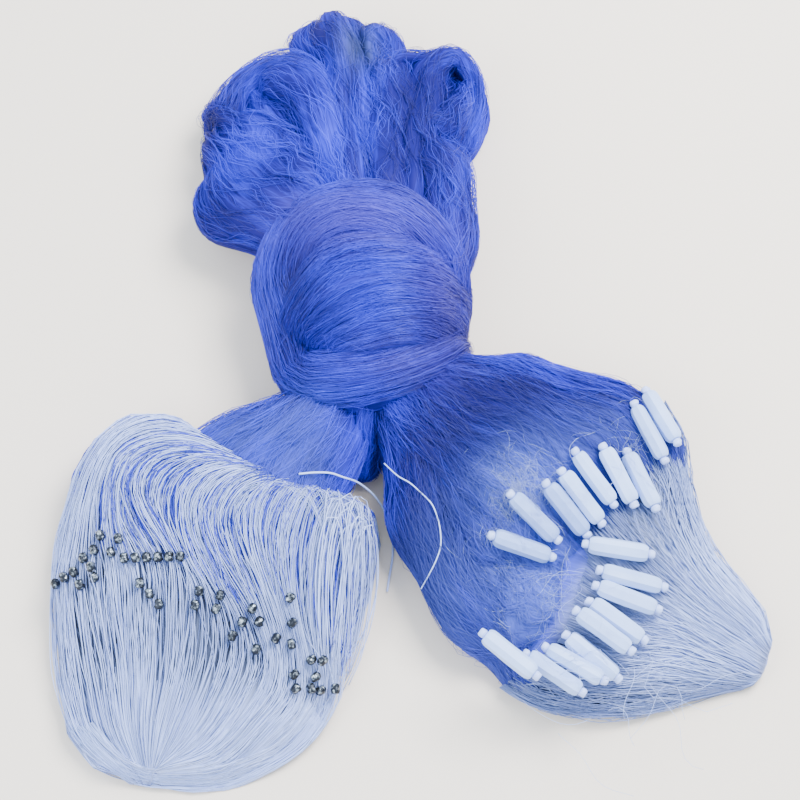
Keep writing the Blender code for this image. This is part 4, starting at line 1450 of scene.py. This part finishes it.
class TRAMMEL_OT_leads(bpy.types.Operator):
    """Crimp the leads on their line"""
    bl_idname = "trammel.leads"
    bl_label = "Leads"

    def execute(self, context):
        settings = context.scene.trammel_net.lead
        rng = np.random.default_rng(41)
        sides = 22
        t = np.sin(np.linspace(-0.5, 0.5, 15) * np.pi)[:, None]
        angle = round_angles(sides)
        barrel = settings.radius / MM * (0.45 + 0.6 * np.sqrt(np.clip(1.0 - np.abs(t) ** 2.6, 0.0, 1.0)))
        waist = 0.10 * np.exp(-(t / 0.16) ** 2)

        def crimped():
            """One lead. At share t of its half length its radius is 0.45 + 0.6 sqrt(1 - |t|^2.6) of the
            full one, less a waist in the middle and a groove where it closes round the line, and dented."""
            dent = wander(rng, 3)
            split = math.pi / 2 + rng.uniform(-0.7, 0.7)
            groove = 0.34 * np.exp(-(((angle + split) % (2 * np.pi) - np.pi) / 0.16) ** 2)
            size = barrel * (1.0 - np.roll(groove, sides // 2, axis=1) - waist)
            size = size * (1.0 + 0.07 * dent(t * 2.0, np.cos(angle) * 2.0, np.sin(angle) * 2.0))
            return rings(settings.barrel / 2 / MM * t, size, angle)

        names = bar_names("lead")
        stack = [placed(crimped(), name) for name in names]
        for row in HIDDEN_LEADS:
            spots = crimped()
            turn = math.radians(rng.uniform(60.0, 110.0))
            cosine, sine = math.cos(turn), math.sin(turn)
            axes = np.array([(cosine, sine, 0.0), (-sine, cosine, 0.0), (0.0, 0.0, 1.0)])
            stack.append(np.array(row) + KNOT + (0.0, 0.0, LEAD_RISE) + spots @ axes)
        put("leads", loft(np.array(stack), tone=0.5), lead_finish(settings), names)
        return {"FINISHED"}


class TRAMMEL_OT_floats(bpy.types.Operator):
    """Set the foam floats on their line"""
    bl_idname = "trammel.floats"
    bl_label = "Floats"

    def execute(self, context):
        settings = context.scene.trammel_net
        rng = np.random.default_rng(51)
        form = settings.float
        names = bar_names("float")
        half = form.body / 2 / MM
        t = np.array(FLOAT_STATIONS)[:, None]
        angle = -(np.arange(4)[:, None] * np.pi / 2 + np.radians(QUARTER_ANGLES)).reshape(1, -1)
        flats = np.maximum(np.abs(np.cos(angle)), np.abs(np.sin(angle)))
        corners = (np.abs(np.cos(angle)) + np.abs(np.sin(angle))) / CORNER_CUT
        shoulder = quarter_round(np.clip(np.abs(t) - NARROWS_FROM, 0.0, 1.0) / NARROWS_OVER)
        section = form.width / 2 / MM / np.maximum(flats, corners) * (0.52 + 0.5 * shoulder)
        turns = np.linspace(0.0, 1.0, 26)[:, None]
        collar = 1.6 + 1.7 * quarter_round((turns - 0.56) / 0.45)
        bodies, bindings, tones = [], [], []
        for name in names:
            lump = wander(rng, 3)
            size = section * (1.0 + 0.03 * lump(t * 1.2, np.cos(angle), np.sin(angle)))
            roll = math.radians(rng.uniform(-GREATEST_ROLL, GREATEST_ROLL))
            wide, deep = size * np.cos(angle), FLATNESS * size * np.sin(angle)
            y = wide * math.cos(roll) - deep * math.sin(roll)
            z = wide * math.sin(roll) + deep * math.cos(roll)
            bodies.append(placed(np.stack([half * t + 0 * angle, y, z], axis=-1), name))
            x, y, _ = from_knot(bar_frame(name)[0])
            veiled = math.hypot(x - UNDER_VEIL[0], y - UNDER_VEIL[1]) < VEIL_REACH
            tones.append(0.0 if veiled else rng.uniform(0.5, 1.0))
            for way in (1, -1):
                around = round_angles(16) * way
                wrap = 0.22 * np.abs(np.sin(turns * 5.0 * np.pi + around * 0.5))
                bound = collar + wrap + 0.2 * lump(turns * 3.0, np.cos(around) * 1.5, np.sin(around) * 1.5)
                x = way * (half - 0.8 + (form.nib / MM + 0.6) * turns)
                bindings.append(placed(rings(x, bound, around), name))
        body = loft(np.array(bodies), tone=np.array(tones)[:, None, None])
        floats = put("floats", body, foam_finish(form), names)
        floats.data.set_sharp_from_angle(angle=math.radians(30.0))
        binding_finish = line_finish(settings.line, "float bindings")
        put("float_bindings", loft(np.array(bindings), tone=0.85), binding_finish)
        return {"FINISHED"}


class TRAMMEL_OT_veil(bpy.types.Operator):
    """Strew thin white threads over the right leg and among the floats"""
    bl_idname = "trammel.veil"
    bl_label = "Veil"

    def execute(self, context):
        settings = context.scene.trammel_net
        rng = np.random.default_rng(61)
        locks = all_locks()
        skein = Skein(SKEINS["float_line_skein"])
        floats = [bar_frame(name)[:2] for name in bar_names("float")]
        half_length, half_width = 22.0, 7.0

        def surface(x, y):
            """The top of the leg, of the skein's far end and of the floats."""
            run, share = skein.coordinates(x, y)
            on_skein = (np.abs(share) < 1.0) & (run < skein.last + 10.0)
            height = top_of([locks[name] for name in GROUPS["right_leg"]], x, y)
            height = np.maximum(height, np.where(on_skein, skein.top(x, y), 0.0))
            for middle, along in floats:
                away = np.stack([x, y], axis=-1) - middle[:2]
                ahead = np.clip(away @ along[:2], -half_length, half_length)
                beside = np.linalg.norm(away - ahead[..., None] * along[:2], axis=-1)
                height = np.where(beside < half_width, np.maximum(height, middle[2] + 6.0), height)
            return height

        paths, kept = curls(surface, VEIL_PATCHES, 11, rng)
        count, thickness, bright = (np.array([row[k] for row in VEIL_PATCHES]) for k in (3, 7, 8))
        thickness, bright = (np.repeat(column, count)[kept, None] for column in (thickness, bright))
        radius = settings.line.thickness / 2 / MM * thickness
        form = tubes(paths, radius, tone=bright + spread_tone(rng, paths, -0.15, 0.15))
        put("veil", form, line_finish(settings.line, "thin thread"))
        return {"FINISHED"}


class TRAMMEL_PT_panel(bpy.types.Panel):
    """Everything that makes the net"""
    bl_idname = "TRAMMEL_PT_panel"
    bl_label = "Trammel Net"
    bl_space_type = "VIEW_3D"
    bl_region_type = "UI"
    bl_category = "Net"

    def draw(self, context):
        for operator in OPERATORS:
            self.layout.operator(operator.bl_idname)
        settings = context.scene.trammel_net
        for group in (settings.netting, settings.line, settings.float, settings.lead, settings.stage):
            box = self.layout.box()
            for name in group.__annotations__:
                box.prop(group, name)


SETTINGS = (NettingSettings, LineSettings, FloatSettings, LeadSettings, StageSettings, NetSettings)
OPERATORS = (TRAMMEL_OT_stage, TRAMMEL_OT_loose_lines, TRAMMEL_OT_netting, TRAMMEL_OT_lead_line,
             TRAMMEL_OT_leads, TRAMMEL_OT_float_line, TRAMMEL_OT_floats, TRAMMEL_OT_veil)


def register():
    for kind in (*SETTINGS, *OPERATORS, TRAMMEL_PT_panel):
        bpy.utils.register_class(kind)
    bpy.types.Scene.trammel_net = bpy.props.PointerProperty(type=NetSettings)


def unregister():
    del bpy.types.Scene.trammel_net
    for kind in reversed((*SETTINGS, *OPERATORS, TRAMMEL_PT_panel)):
        bpy.utils.unregister_class(kind)


def main():
    """Make every piece."""
    register()
    for operator in OPERATORS:
        family, name = operator.bl_idname.split(".")
        getattr(getattr(bpy.ops, family), name)()


if __name__ == "__main__":
    main()
